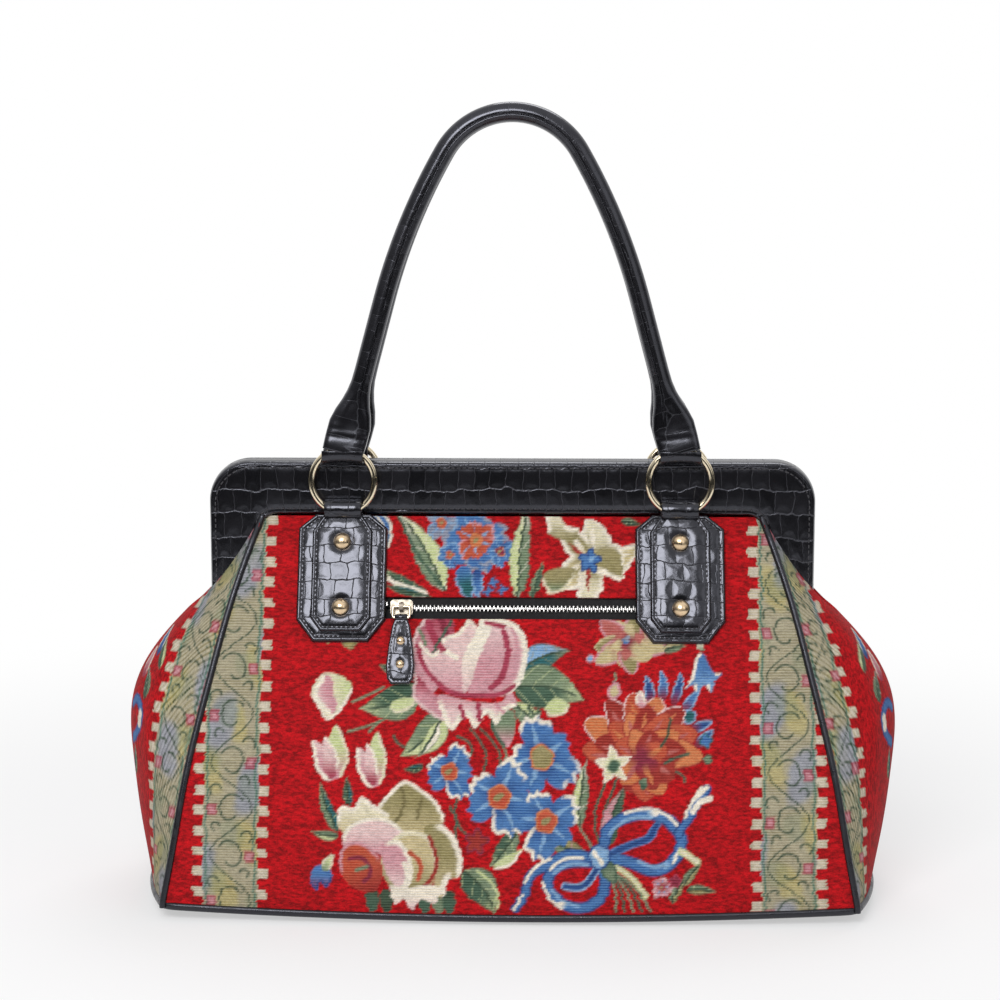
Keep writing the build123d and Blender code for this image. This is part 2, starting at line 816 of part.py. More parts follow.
pull_cap = (pull_stud_radius**2 + pull_stud_height**2) / (2 * pull_stud_height)
pull_cap_latitude = degrees(asin((pull_cap - pull_stud_height) / pull_cap))
with BuildPart(pull_plane.offset(pull_thickness)) as zip_pull_studs:
    for share in pull_stud_place_shares:
        with Locations((0, pull_top - share * pull_length)):
            Sphere(
                pull_cap,
                arc_size1=pull_cap_latitude,
                align=(Align.CENTER, Align.CENTER, Align.MIN),
            )
save(zip_pull_studs.part, "zip_pull_studs")
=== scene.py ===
import math

import bmesh
import bpy
import numpy as np
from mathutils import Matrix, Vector


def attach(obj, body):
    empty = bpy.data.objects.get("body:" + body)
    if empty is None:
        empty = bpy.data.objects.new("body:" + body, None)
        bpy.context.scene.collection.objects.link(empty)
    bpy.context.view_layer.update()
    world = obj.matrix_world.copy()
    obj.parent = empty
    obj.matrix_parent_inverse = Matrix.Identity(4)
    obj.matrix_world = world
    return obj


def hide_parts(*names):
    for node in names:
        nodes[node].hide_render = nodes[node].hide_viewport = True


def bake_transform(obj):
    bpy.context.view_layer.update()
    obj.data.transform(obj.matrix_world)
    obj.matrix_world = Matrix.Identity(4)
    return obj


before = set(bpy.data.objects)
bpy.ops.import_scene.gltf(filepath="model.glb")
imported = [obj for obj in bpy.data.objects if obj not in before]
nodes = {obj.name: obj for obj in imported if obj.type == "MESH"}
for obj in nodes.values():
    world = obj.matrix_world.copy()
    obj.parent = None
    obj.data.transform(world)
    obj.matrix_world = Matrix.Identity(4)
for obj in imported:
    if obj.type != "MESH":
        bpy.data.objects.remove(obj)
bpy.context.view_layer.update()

MM = 0.001

# the bag's own sizes, in millimetres
BASE_Z, BODY_HEIGHT = 9.0, 213.0
MOUTH_Z = BASE_Z + BODY_HEIGHT
BASE_X, MOUTH_X = 197.0, 146.0
BASE_Y, MOUTH_Y = 81.0, 14.0
BELLY, CROWN = 49.0, 6.0
# shares: up the body, from the base's length and depth to the mouth's, of the gusset's and panel's bulge
LEVEL_SHARES = np.array([
    (0.0, 0.0, 0.0, 0.35, 0.83),
    (0.143, 0.108, 0.067, 0.60, 1.0),
    (0.327, 0.235, 0.201, 0.84, 0.83),
    (0.498, 0.392, 0.373, 1.0, 0.58),
    (0.604, 0.5, 0.491, 0.92, 0.40),
    (0.71, 0.608, 0.621, 0.66, 0.27),
    (0.834, 0.755, 0.782, 0.30, 0.20),
    (1.0, 1.0, 1.0, 0.08, 0.13),
])
AT_BASE = np.array((BASE_Z, BASE_X, BASE_Y, 0.0, 0.0))
TO_MOUTH = np.array((BODY_HEIGHT, MOUTH_X - BASE_X, MOUTH_Y - BASE_Y, BELLY, CROWN))
# height, half length and half depth at the seams, bulge of the gusset, bulge of the panel
LEVELS = AT_BASE + LEVEL_SHARES * TO_MOUTH
RING_X, RING_Y = 98.0, 17.4
LOOP_Z, RING_Z, HANDLE_Z = 227.6, 244.267, 260.933
RING_RADIUS, WIRE_RADIUS = 18.4, 1.9
PATCH_Z, ZIP_Z = 186.6, 173.0
WINDOW_X, PULL_X = 87.0, -63.0
STRIP_X, STRIP_HALF = 158.7, 15.7
STRIP_LOW, STRIP_HIGH = 6.0, 224.0
# the frame's outer and inner edge: half width, top and corner radius
FRAME_EDGES = ((178.0, 255.5, 24.0), (146.0, 223.0, 9.0))
LEG_FOOT, COVER_WIDTH = 171.5, 32
SCALE_SIZE = 10.5
FACES = (("front", -1), ("rear", 1))
ENDS = (("left", -1), ("right", 1))


def natural_spline(t, values):
    """A smooth curve through a table, as a function of its first column."""
    n = len(t)
    h = np.diff(t)
    a = np.zeros((n, n))
    b = np.zeros(n)
    a[0, 0] = a[-1, -1] = 1
    for i in range(1, n - 1):
        a[i, i - 1], a[i, i], a[i, i + 1] = h[i - 1], 2 * (h[i - 1] + h[i]), h[i]
        b[i] = 6 * ((values[i + 1] - values[i]) / h[i] - (values[i] - values[i - 1]) / h[i - 1])
    m = np.linalg.solve(a, b)

    def value(x):
        x = np.asarray(x, float)
        i = np.clip(np.searchsorted(t, x) - 1, 0, n - 2)
        d0, d1 = t[i + 1] - x, x - t[i]
        return (
            (m[i] * d0**3 + m[i + 1] * d1**3) / (6 * h[i])
            + (values[i] / h[i] - m[i] * h[i] / 6) * d0
            + (values[i + 1] / h[i] - m[i + 1] * h[i] / 6) * d1
        )

    return value


seam_x, seam_y, bulge, crown = (natural_spline(LEVELS[:, 0], LEVELS[:, k]) for k in range(1, 5))


def smooth(x, a, b):
    """A soft step from 0 at a to 1 at b."""
    t = np.clip((np.asarray(x, float) - a) / (b - a), 0, 1)
    return t * t * (3 - 2 * t)


def sag(x):
    """The loaded base hangs a little between its feet."""
    return 1.2 - 4.2 * (1 - np.clip(np.asarray(x, float) / BASE_X, -1, 1) ** 2)


def panel_depth(x, z):
    """Half depth of the bag at the front or rear panel."""
    full = seam_y(z) + crown(z) * (1 - (x / seam_x(z)) ** 2)
    tuck = 5.4 * smooth(z, 206, 222)
    soft = 0.5 * np.sin(x / 31.0 + z / 23.0) * np.sin(z / 17.0 + 0.6) * smooth(z, 14, 40)
    return full - tuck + soft * (1 - smooth(np.abs(x), 120, 150))


def chord_depth(x, z):
    """Half depth on straight lines between the levels, where the stiff pieces are seated."""
    i = int(np.clip(np.searchsorted(LEVELS[:, 0], z) - 1, 0, len(LEVELS) - 2))
    low, high = LEVELS[i], LEVELS[i + 1]
    share = (z - low[0]) / (high[0] - low[0])
    d = [r[2] + r[4] * (1 - (x / r[1]) ** 2) for r in (low, high)]
    return d[0] + share * (d[1] - d[0])


class Seat:
    """A plane lying on the front panel: x along the bag, y up the panel, z out of it."""

    def __init__(self, x, z, lift):
        slope = math.atan((chord_depth(x, z - 25) - chord_depth(x, z + 25)) / 50)
        self.out = np.array((0, -math.cos(slope), math.sin(slope)))
        self.up = np.array((0, math.sin(slope), math.cos(slope)))
        self.origin = np.array((x, -chord_depth(x, z), z)) + self.out * lift

    def at(self, x, y, z):
        x, y, z = (np.asarray(v, float)[..., None] for v in (x, y, z))
        return self.origin + x * np.array((1.0, 0, 0)) + y * self.up + z * self.out

    def local_y(self, p):
        return float((np.asarray(p) - self.origin) @ self.up)


# materials


def linear(r, g, b):
    c = np.array((r, g, b), float) / 255
    return np.where(c <= 0.04045, c / 12.92, ((c + 0.055) / 1.055) ** 2.4)


def connect(tree, value, socket):
    if hasattr(value, "links"):
        tree.links.new(value, socket)
    else:
        socket.default_value = value


def add_node(tree, kind, settings=None, **inputs):
    """A shader node; an input is named with underscores for spaces, or by its number as i0, i1."""
    n = tree.nodes.new("ShaderNode" + kind)
    for key, value in (settings or {}).items():
        setattr(n, key, value)
    for key, value in inputs.items():
        number = key[0] == "i" and key[1:].isdigit()
        connect(tree, value, n.inputs[int(key[1:]) if number else key.replace("_", " ")])
    return n


def shader_math(tree, operation, *values):
    inputs = {f"i{k}": value for k, value in enumerate(values)}
    return add_node(tree, "Math", {"operation": operation}, **inputs).outputs[0]


class Look:
    """One procedural material, with short ways to add its nodes."""

    def __init__(self, name, colour, rough, metal=0.0, **sockets):
        self.m = bpy.data.materials.new(name)
        self.m.use_nodes = True
        self.t = self.m.node_tree
        self.t.nodes.clear()
        self.bsdf = self.node("BsdfPrincipled")
        self.node("OutputMaterial", i0=self.bsdf.outputs[0])
        self.set("Base Color", (*colour, 1))
        self.set("Roughness", rough)
        self.set("Metallic", metal)
        for key, value in sockets.items():
            self.set(key.replace("_", " "), value)
        self.m.diffuse_color = (*colour, 1)

    def set(self, socket, value):
        connect(self.t, value, self.bsdf.inputs[socket])

    def node(self, kind, settings=None, **inputs):
        return add_node(self.t, kind, settings, **inputs)

    def vector(self, op, a, b):
        return self.node("VectorMath", {"operation": op}, i0=a, i1=b).outputs[0]

    def math(self, op, a, b=0.0, c=0.0):
        return shader_math(self.t, op, a, b, c)

    def span(self, value, a, b, low=0.0, high=1.0):
        """The value's way from a to b, as a soft step from low to high."""
        ends = {"From_Min": a, "From_Max": b, "To_Min": low, "To_Max": high}
        return self.node("MapRange", {"interpolation_type": "SMOOTHSTEP"}, Value=value, **ends).outputs[0]

    def mix(self, share, a, b, kind="MIX"):
        a, b = (v if hasattr(v, "links") else (*v, 1)[:4] for v in (a, b))
        settings = {"data_type": "RGBA", "blend_type": kind}
        return self.node("Mix", settings, i0=share, i6=a, i7=b).outputs[2]

    def place(self, scale=(1.0, 1.0, 1.0), of="Object"):
        c = self.node("TexCoord").outputs[of]
        return self.node("Mapping", Vector=c, Scale=scale).outputs[0]

    def noise(self, at, scale, detail=2.0, rough=0.5):
        return self.node("TexNoise", Vector=at, Scale=scale, Detail=detail, Roughness=rough).outputs[0]

    def bump(self, height, strength, distance):
        n = self.node("Bump", Height=height, Strength=strength, Distance=distance)
        self.set("Normal", n.outputs[0])


COOL = (0.85, 0.87, 1.0, 1)


def croc_leather(name, relief=1.0, shift=0.0, line=(0.026, 0.025, 0.029)):
    """Glossy black leather stamped with square crocodile scales; one unit of the UV map is one scale. Its
    grooves are painted the lighter line colour, a painted highlight.
    """
    k = Look(name, (0.006, 0.0057, 0.0068), 0.25, Specular_IOR_Level=0.75, Specular_Tint=COOL)
    uv = k.node("TexCoord").outputs["UV"]
    at = k.node("Mapping", Vector=uv, Location=(shift, 0, 0)).outputs[0]
    for scale, reach in ((0.6, 0.45), (2.3, 0.14)):
        wander = k.node("TexNoise", {"noise_dimensions": "2D"}, Vector=at, Scale=scale, Detail=1.0)
        away = k.vector("SUBTRACT", wander.outputs["Color"], (0.5, 0.5, 0.5))
        at = k.vector("ADD", at, k.vector("MULTIPLY", away, (reach, reach, 0)))
    u, v, _ = k.node("SeparateXYZ", Vector=at).outputs
    row = k.math("FLOOR", v)
    u = k.math("ADD", u, k.math("MULTIPLY", row, 0.37))
    column = k.math("FLOOR", u)
    cell = k.node("CombineXYZ", i0=column, i1=row).outputs[0]
    own = k.node("TexWhiteNoise", {"noise_dimensions": "2D"}, Vector=cell).outputs[0]
    gaps = []
    for c in (u, v):
        part = k.math("FRACT", c)
        gaps.append(k.math("MINIMUM", part, k.math("SUBTRACT", 1.0, part)))
    edge = k.math("SMOOTH_MIN", gaps[0], gaps[1], 0.12)
    groove = k.span(edge, -0.02, 0.035)
    dome = k.span(edge, 0.0, 0.4)
    at3 = k.place()
    fine = k.noise(at3, 900.0, 3.0)
    cloudy = k.noise(at3, 45.0, 2.0)
    height = k.math("ADD", k.math("MULTIPLY", groove, 0.55), k.math("MULTIPLY", dome, 0.4))
    height = k.math("ADD", height, k.math("MULTIPLY", fine, 0.05))
    height = k.math("ADD", height, k.math("MULTIPLY", k.math("ADD", own, cloudy), 0.3))
    black = k.mix(own, (0.0035, 0.0034, 0.0041), (0.007, 0.0066, 0.008))
    # the grooves take the lighter line colour: a painted highlight in them
    k.set("Base Color", k.mix(groove, line, black))
    rough = k.math("MULTIPLY_ADD", own, 0.04, 0.46)
    k.set("Roughness", k.math("MULTIPLY_ADD", groove, -0.26, rough))
    k.bump(height, 0.5 * relief, 0.0011)
    return k.m


def plain_leather(name):
    k = Look(name, (0.006, 0.0057, 0.0068), 0.3, Specular_IOR_Level=0.6, Specular_Tint=COOL)
    at = k.place()
    grain = k.node("TexVoronoi", {"feature": "DISTANCE_TO_EDGE"}, Vector=at, Scale=1100.0).outputs["Distance"]
    k.set("Roughness", k.span(k.noise(at, 160.0, 3.0), 0.3, 0.75, 0.26, 0.44))
    k.set("Base Color", k.mix(k.noise(at, 60.0, 3.0), (0.004, 0.0038, 0.0046), (0.009, 0.0085, 0.010)))
    k.bump(grain, 0.25, 0.0004)
    return k.m


def carpet_cloth(name, turned):
    """Woven cloth: the tint is the yarn's colour, and its alpha says where the chenille ground shows.

    Its ribs run level, or upright where the cloth is cut turned; between them the yarn is painted darker, a
    painted shade.
    """
    k = Look(name, (0.45, 0.02, 0.02), 0.85, Sheen_Weight=0.03, Sheen_Roughness=0.5, Specular_IOR_Level=0.2)
    k.bsdf.inputs["Sheen Tint"].default_value = (1.0, 0.82, 0.78, 1)
    tint = k.node("Attribute", {"attribute_name": "tint"})
    place = k.node("TexCoord").outputs["Object"]
    sway = k.math("MULTIPLY", k.noise(k.place((0.3, 0.3, 0.3)), 160.0, 2.0), 0.0007)
    z = k.math("ADD", k.node("SeparateXYZ", Vector=place).outputs[1 if turned else 2], sway)
    rib = k.math("SINE", k.math("MULTIPLY", z, 2 * math.pi / 0.00148))
    rib = k.math("MULTIPLY_ADD", rib, 0.5, 0.5)
    long = (1.0, 1.0, 0.38) if turned else (0.38, 0.38, 1.0)
    streak = k.noise(k.place(long), 700.0, 3.0, 0.62)
    tuft = k.noise(k.place((0.8, 0.8, 1.0)), 1600.0, 2.0, 0.6)
    patch = k.noise(k.place(long), 130.0, 3.0, 0.6)
    ground_tone = k.math("ADD", k.span(streak, 0.32, 0.68, 0.50, 1.26), k.span(tuft, 0.3, 0.7, -0.16, 0.16))
    ground_tone = k.math("MULTIPLY", ground_tone, k.span(patch, 0.3, 0.7, 0.86, 1.08))
    yarn_tone = k.math("ADD", k.span(tuft, 0.3, 0.7, 0.70, 0.92), k.span(streak, 0.32, 0.68, -0.10, 0.10))
    share = tint.outputs["Alpha"]
    rest = k.math("SUBTRACT", 1.0, share)
    tone = k.math("ADD", k.math("MULTIPLY", ground_tone, share), k.math("MULTIPLY", yarn_tone, rest))
    grey = k.node("CombineColor", i0=tone, i1=tone, i2=tone).outputs[0]
    colour = tint.outputs["Color"]
    # between the ribs the same yarn is painted deeper and darker: painted shade in the rib valleys
    squared = k.mix(1.0, colour, colour, "MULTIPLY")
    deep = k.mix(1.0, squared, k.mix(1.0, colour, (0.22, 0.24, 0.22), "MULTIPLY"), "ADD")
    # the painted valley shade comes in patches and lies on the yarn only
    patchy_shade_share = k.math("MULTIPLY", rest, k.span(patch, 0.35, 0.62, 0.45, 1.0))
    valley_shade = k.math("MULTIPLY", k.span(rib, 0.12, 0.62, 1.0, 0.0), patchy_shade_share)
    k.set("Base Color", k.mix(1.0, k.mix(valley_shade, colour, deep), grey, "MULTIPLY"))
    pile = k.math("MULTIPLY", k.math("ADD", streak, tuft), share)
    height = k.math("MULTIPLY_ADD", rib, rest, pile)
    k.bump(height, 0.45, 0.0005)
    return k.m


def metal(name, colour, rough):
    k = Look(name, colour, rough, 1.0)
    at = k.place()
    k.set("Roughness", k.span(k.noise(at, 260.0, 4.0), 0.3, 0.75, rough * 0.8, rough * 1.5))
    k.set("Base Color", k.mix(k.noise(at, 90.0, 3.0), tuple(0.92 * c for c in colour), colour))
    k.bump(k.noise(at, 1400.0, 2.0), 0.03, 0.0002)
    return k.m


def woven(name, colour, pitch, rough=0.9):
    k = Look(name, colour, rough, Sheen_Weight=0.12, Specular_IOR_Level=0.25)
    at = k.place()
    x, y, z = k.node("SeparateXYZ", Vector=at).outputs
    a = k.math("SINE", k.math("MULTIPLY", x, 2 * math.pi / pitch))
    b = k.math("SINE", k.math("MULTIPLY", k.math("ADD", z, y), 2 * math.pi / pitch))
    weave = k.math("MULTIPLY_ADD", k.math("MULTIPLY", a, b), 0.5, 0.5)
    fleck = k.span(k.noise(at, 400.0, 3.0), 0.3, 0.7, -0.15, 0.15)
    tone = k.math("ADD", k.span(weave, 0.0, 1.0, 0.7, 1.15), fleck)
    grey = k.node("CombineColor", i0=tone, i1=tone, i2=tone).outputs[0]
    k.set("Base Color", k.mix(1.0, colour, grey, "MULTIPLY"))
    k.bump(weave, 0.4, 0.0003)
    return k.m


CROC = croc_leather("croc_leather", 0.7)
CROC_TAB = croc_leather("croc_leather_tabs", 0.9, 7.3)
# the handles' grooves get a fainter painted highlight
CROC_GRIP = croc_leather("croc_leather_handles", 0.16, 3.1, (0.011, 0.0105, 0.012))
LEATHER = plain_leather("edge_leather")
CLOTH = carpet_cloth("carpet_cloth", False)
CLOTH_TURNED = carpet_cloth("carpet_cloth_turned", True)
GOLD = metal("pale_gold", (0.86, 0.75, 0.55), 0.15)
SILVER = metal("zip_silver", (0.42, 0.41, 0.40), 0.34)
STUD = metal("stud_gold", (0.82, 0.62, 0.40), 0.24)
SLIDER = metal("slider_gold", (0.44, 0.39, 0.32), 0.46)
STEEL = metal("frame_steel", (0.50, 0.50, 0.51), 0.38)
LINING = woven("lining_cloth", (0.030, 0.029, 0.031), 0.0011)
TAPE = woven("zip_tape", (0.016, 0.016, 0.017), 0.0014)
THREAD = woven("black_thread", (0.050, 0.048, 0.055), 0.0007, 0.5)
BOARD = woven("board", (0.16, 0.15, 0.14), 0.0020)

# mesh helpers


def piece(name, points, faces, material, uv=None, tint=None, smooth_faces=True, outwards=False):
    """A mesh object from points in millimetres and quads (an array) or faces (a list)."""
    mesh = bpy.data.meshes.new(name)
    points = np.asarray(points, float).reshape(-1, 3)
    if isinstance(faces, np.ndarray):
        mesh.vertices.add(len(points))
        mesh.vertices.foreach_set("co", (points * MM).astype(np.float32).ravel())
        mesh.loops.add(faces.size)
        mesh.loops.foreach_set("vertex_index", faces.astype(np.int32).ravel())
        mesh.polygons.add(len(faces))
        mesh.polygons.foreach_set("loop_start", np.arange(0, faces.size, faces.shape[1], dtype=np.int32))
        mesh.update(calc_edges=True)
    else:
        mesh.from_pydata((points * MM).tolist(), [], faces)
    mesh.validate()
    if outwards:
        b = bmesh.new()
        b.from_mesh(mesh)
        bmesh.ops.recalc_face_normals(b, faces=b.faces)
        b.to_mesh(mesh)
        b.free()
    mesh.polygons.foreach_set("use_smooth", np.full(len(mesh.polygons), smooth_faces))
    index = np.zeros(len(mesh.loops), np.int32)
    mesh.loops.foreach_get("vertex_index", index)
    if uv is not None:
        layer = mesh.uv_layers.new(name="UVMap")
        layer.data.foreach_set("uv", np.asarray(uv, np.float32).reshape(-1, 2)[index].ravel())
    if tint is not None:
        layer = mesh.attributes.new("tint", "FLOAT_COLOR", "POINT")
        layer.data.foreach_set("color", np.asarray(tint, np.float32).reshape(-1, 4).ravel())
    obj = bpy.data.objects.new(name, mesh)
    bpy.context.scene.collection.objects.link(obj)
    mesh.materials.append(material)
    return obj


def grid_quads(rows, cols, wrap=False):
    """Quads of a grid of points, which may close on itself along its rows."""
    index = np.arange(rows * cols).reshape(rows, cols)
    right = np.roll(index, -1, axis=1) if wrap else index[:, 1:]
    left = index if wrap else index[:, :-1]
    return np.stack([left[:-1], right[:-1], right[1:], left[1:]], -1).reshape(-1, 4)


def wrap_quads(rows, cols):
    """Quads of a grid that closes on itself both ways."""
    index = np.arange(rows * cols).reshape(rows, cols)
    after = np.roll(index, -1, 0)
    return np.stack([index, np.roll(index, -1, 1), np.roll(after, -1, 1), after], -1)


def face_list(quads, first=0):
    return [tuple(int(v) + first for v in q) for q in quads]


def end_faces(rows, cols):
    """The faces that close both ends of a tube of rows."""
    return [tuple(range(cols))[::-1], tuple((rows - 1) * cols + i for i in range(cols))]


def run_of(p):
    """Way along a line of points, from 0 at its start."""
    return np.r_[0, np.cumsum(np.linalg.norm(np.diff(p, axis=0), axis=1))]


def on_face(face, p):
    """A front piece's points, or their mirror image at the rear."""
    q = np.array(p, float)
    if face == "rear":
        q[..., 1] *= -1
    return q


def dress(obj, node, body=None):
    """Stands a piece in for a node; a stiff piece rides on a body."""
    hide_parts(node)
    if body:
        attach(obj, body)


def follow(obj):
    """Bakes the cloth piece's placement into its points.
    """
    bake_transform(obj)


# the woven pattern

RED = linear(168, 9, 18)
# a darker red for the window's turned-in edge, as painted shade
SHADED_EDGE_RED = linear(120, 8, 16)
BEIGE = linear(176, 168, 144)
BONE = linear(206, 196, 178)
STRAW = linear(188, 176, 124)
LILAC = linear(154, 158, 174)
CREAM = linear(224, 216, 192)
IVORY = linear(236, 228, 214)
LINE = linear(72, 90, 72)
VINE = linear(92, 128, 112)
LEAF = linear(80, 106, 88)
SAGE = linear(130, 146, 120)
PALE = linear(204, 210, 164)
TEAL = linear(52, 108, 112)
BLUE = linear(84, 128, 180)
NAVY = linear(52, 86, 144)
SKY = linear(140, 174, 206)
PINK = linear(208, 158, 166)
ROSE = linear(172, 70, 92)
BLUSH = linear(226, 200, 198)
OLIVE = linear(160, 150, 108)
SAND = linear(204, 190, 152)
ORANGE = linear(196, 96, 70)
AMBER = linear(208, 132, 88)
RUST = linear(164, 60, 52)
PLUM = linear(142, 52, 72)
DUSK = linear(190, 112, 106)


def closed_curve(points, parts=6):
    """Points on a smooth closed curve through these, anticlockwise."""
    p = np.asarray(points, float)
    if np.sum(p[:, 0] * np.roll(p[:, 1], -1) - p[:, 1] * np.roll(p[:, 0], -1)) < 0:
        p = p[::-1]
    a, b, c, d = np.roll(p, 1, 0), p, np.roll(p, -1, 0), np.roll(p, -2, 0)
    out = []
    square, cube = 2 * a - 5 * b + 4 * c - d, 3 * b - a - 3 * c + d
    for t in np.arange(parts) / parts:
        out.append(0.5 * (2 * b + (c - a) * t + square * t**2 + cube * t**3))
    return np.stack(out, 1).reshape(-1, 2)


def toward(colour, other, share):
    """Colours moved by a share, point for point, to another colour."""
    share = share[:, None]
    return colour * (1 - share) + np.asarray(other) * share


def soft_edge(inside, yarn=0.8):
    """Cover of a field by the distance inside its edge, over one yarn's width."""
    return np.clip(inside / yarn + 0.5, 0, 1)


def far_from(q, a, b):
    """Distance of each point of q from the line from a to b."""
    d = b - a
    k = np.clip(((q - a) @ d) / max(d @ d, 1e-9), 0, 1)
    return np.hypot(*(q - a - k[:, None] * d).T)


class Weave:
    """Paints yarn colours on points of a cloth, x along it and z up it, in millimetres."""

    def __init__(self, x, z):
        x, self.z = np.asarray(x, float).ravel(), np.asarray(z, float).ravel()
        # each pick of yarn starts and stops a little early or late
        pick = np.floor(self.z / 1.48)
        early = np.modf(np.abs(np.sin(pick * 12.9898) * 43758.5453))[0] - 0.5
        self.x = x + 1.35 * early + 0.35 * np.sin(self.z / 5.3 + x / 19.0)
        self.rgb = np.tile(RED, (len(self.x), 1))
        self.ground = np.ones(len(self.x))

    def near(self, x, z, r):
        return np.where((np.abs(self.x - x) < r) & (np.abs(self.z - z) < r))[0]

    def lay(self, where, mask, colour):
        m = np.clip(mask, 0, 1)
        colour = np.asarray(colour)
        self.rgb[where] = self.rgb[where] * (1 - m[:, None]) + colour * m[:, None]
        self.ground[where] *= 1 - m

    def local(self, x, z, angle, length, width, bend):
        """Points near a petal: their indices, share of the way along it, distance off its middle line."""
        i = self.near(x, z, length * 1.25 + width)
        a = math.radians(angle)
        dx, dz = self.x[i] - x, self.z[i] - z
        u = (dx * math.cos(a) + dz * math.sin(a)) / length
        v = -dx * math.sin(a) + dz * math.cos(a) - bend * width * 4 * u * (1 - u)
        return i, u, v

    def petal(
        self, x, z, angle, length, width, body, rim=None, base=None, point=0.5, rim_width=1.3, bend=0.0
    ):
        """A petal or leaf from its foot at x, z along angle; point 0 is round and 1 is sharp."""
        i, u, v = self.local(x, z, angle, length, width, bend)
        t = np.clip(u, 0, 1)
        round_half = np.sqrt(np.clip(1 - (2 * t**0.75 - 1) ** 2, 0, 1))
        sharp_half = np.sin(math.pi * t**0.8) * (1 - 0.25 * t)
        half = width / 2 * ((1 - point) * round_half + point * sharp_half)
        inside = np.where((u < 0) | (u > 1), -1.0, half - np.abs(v))
        colour = np.tile(np.asarray(body), (len(i), 1))
        if base is not None:
            colour = toward(colour, base, smooth(t, 0.62, 0.05))
        if rim is not None:
            near_rim = smooth(inside, rim_width * 1.5, rim_width * 0.5)
            colour = toward(colour, rim, near_rim * smooth(t, 0.12, 0.4))
        self.lay(i, soft_edge(inside), colour)

    def leaf(self, x, z, angle, length, width, light=SAGE, dark=LEAF, vein=PALE, bend=0.15):
        """A leaf with a light and a dark half, side veins and a drawn edge."""
        i, u, v = self.local(x, z, angle, length, width, bend)
        t = np.clip(u, 0, 1)
        half = width / 2 * np.sin(math.pi * t**0.75) * (1 - 0.2 * t)
        inside = np.where((u < 0) | (u > 1), -1.0, half - np.abs(v))
        colour = toward(np.asarray(dark), light, smooth(v, -0.5, 0.5))
        colour = toward(colour, vein, smooth(t, 0.55, 0.95) * 0.6)
        colour = toward(colour, vein, smooth(np.abs(np.sin(t * 13 - np.abs(v) * 0.35)), 0.25, 0.05) * 0.5)
        colour = toward(colour, LINE, smooth(np.abs(v), 0.9, 0.35) * smooth(t, 0.95, 0.8))
        colour = toward(colour, LINE, 0.6 * smooth(inside, 1.0, 0.2))
        self.lay(i, soft_edge(inside), colour)

    def disc(self, x, z, r, body, rim=None, rim_width=1.0, ragged=0.0, lobes=7):
        i = self.near(x, z, r * 1.4 + 1)
        dx, dz = self.x[i] - x, self.z[i] - z
        edge = r * (1 + ragged * np.sin(lobes * np.arctan2(dz, dx) + 0.7))
        inside = edge - np.hypot(dx, dz)
        colour = np.tile(np.asarray(body), (len(i), 1))
        if rim is not None:
            colour = toward(colour, rim, smooth(inside, rim_width * 1.4, rim_width * 0.5))
        self.lay(i, soft_edge(inside), colour)

    def within(self, p, room):
        """Indices of the points in the box round a line, and their places."""
        low, high = p.min(0) - room, p.max(0) + room
        i = np.where((self.x > low[0]) & (self.x < high[0]) & (self.z > low[1]) & (self.z < high[1]))[0]
        return i, np.c_[self.x[i], self.z[i]]

    def stroke(self, points, width, colour, edge=None):
        """A line of even width along a smooth curve through points."""
        p = np.asarray(points, float)
        t = run_of(p)
        if len(p) > 2:
            fx, fz = natural_spline(t, p[:, 0]), natural_spline(t, p[:, 1])
            s = np.linspace(0, t[-1], max(6, int(t[-1] / 1.2)))
            p = np.c_[fx(s), fz(s)]
        i, q = self.within(p, width)
        best = np.full(len(i), 1e9)
        for a, b in zip(p[:-1], p[1:]):
            best = np.minimum(best, far_from(q, a, b))
        colours = np.tile(np.asarray(colour), (len(i), 1))
        if edge is not None:
            colours = toward(colours, edge, smooth(best, width / 2 - 1.4, width / 2 - 0.5))
        self.lay(i, soft_edge(width / 2 - best), colours)

    def shape(
        self, outline, body, rim=None, rim_way=None, rim_width=1.5, shade=None, shade_way=(0, -1)
    ):
        """A field of colour in a closed curve: shaded along shade_way, rimmed where it faces rim_way."""
        p = closed_curve(outline)
        i, q = self.within(p, 1.5)
        best, facing, inside = np.full(len(i), 1e9), np.zeros(len(i)), np.zeros(len(i), bool)
        for a, b in zip(p, np.roll(p, -1, 0)):
            d = b - a
            far = far_from(q, a, b)
            closer = far < best
            best = np.where(closer, far, best)
            if rim_way is not None:
                turned = (d[1] * rim_way[0] - d[0] * rim_way[1]) / max(np.hypot(*d), 1e-9)
                facing = np.where(closer, turned, facing)
            crossed = (a[1] > q[:, 1]) != (b[1] > q[:, 1])
            inside ^= crossed & (q[:, 0] < a[0] + (q[:, 1] - a[1]) * d[0] / (d[1] or 1e-9))
        signed = np.where(inside, best, -best)
        colour = np.tile(np.asarray(body), (len(i), 1))
        if shade is not None:
            along, reach = q @ np.asarray(shade_way, float), p @ np.asarray(shade_way, float)
            colour = toward(colour, shade, smooth((along - reach.min()) / np.ptp(reach), 0.35, 1.0))
        if rim is not None:
            share = smooth(signed, rim_width * 1.3, rim_width * 0.6)
            if rim_way is not None:
                share = share * smooth(facing, -0.1, 0.4)
            colour = toward(colour, rim, share)
        self.lay(i, soft_edge(signed), colour)

    # flowers

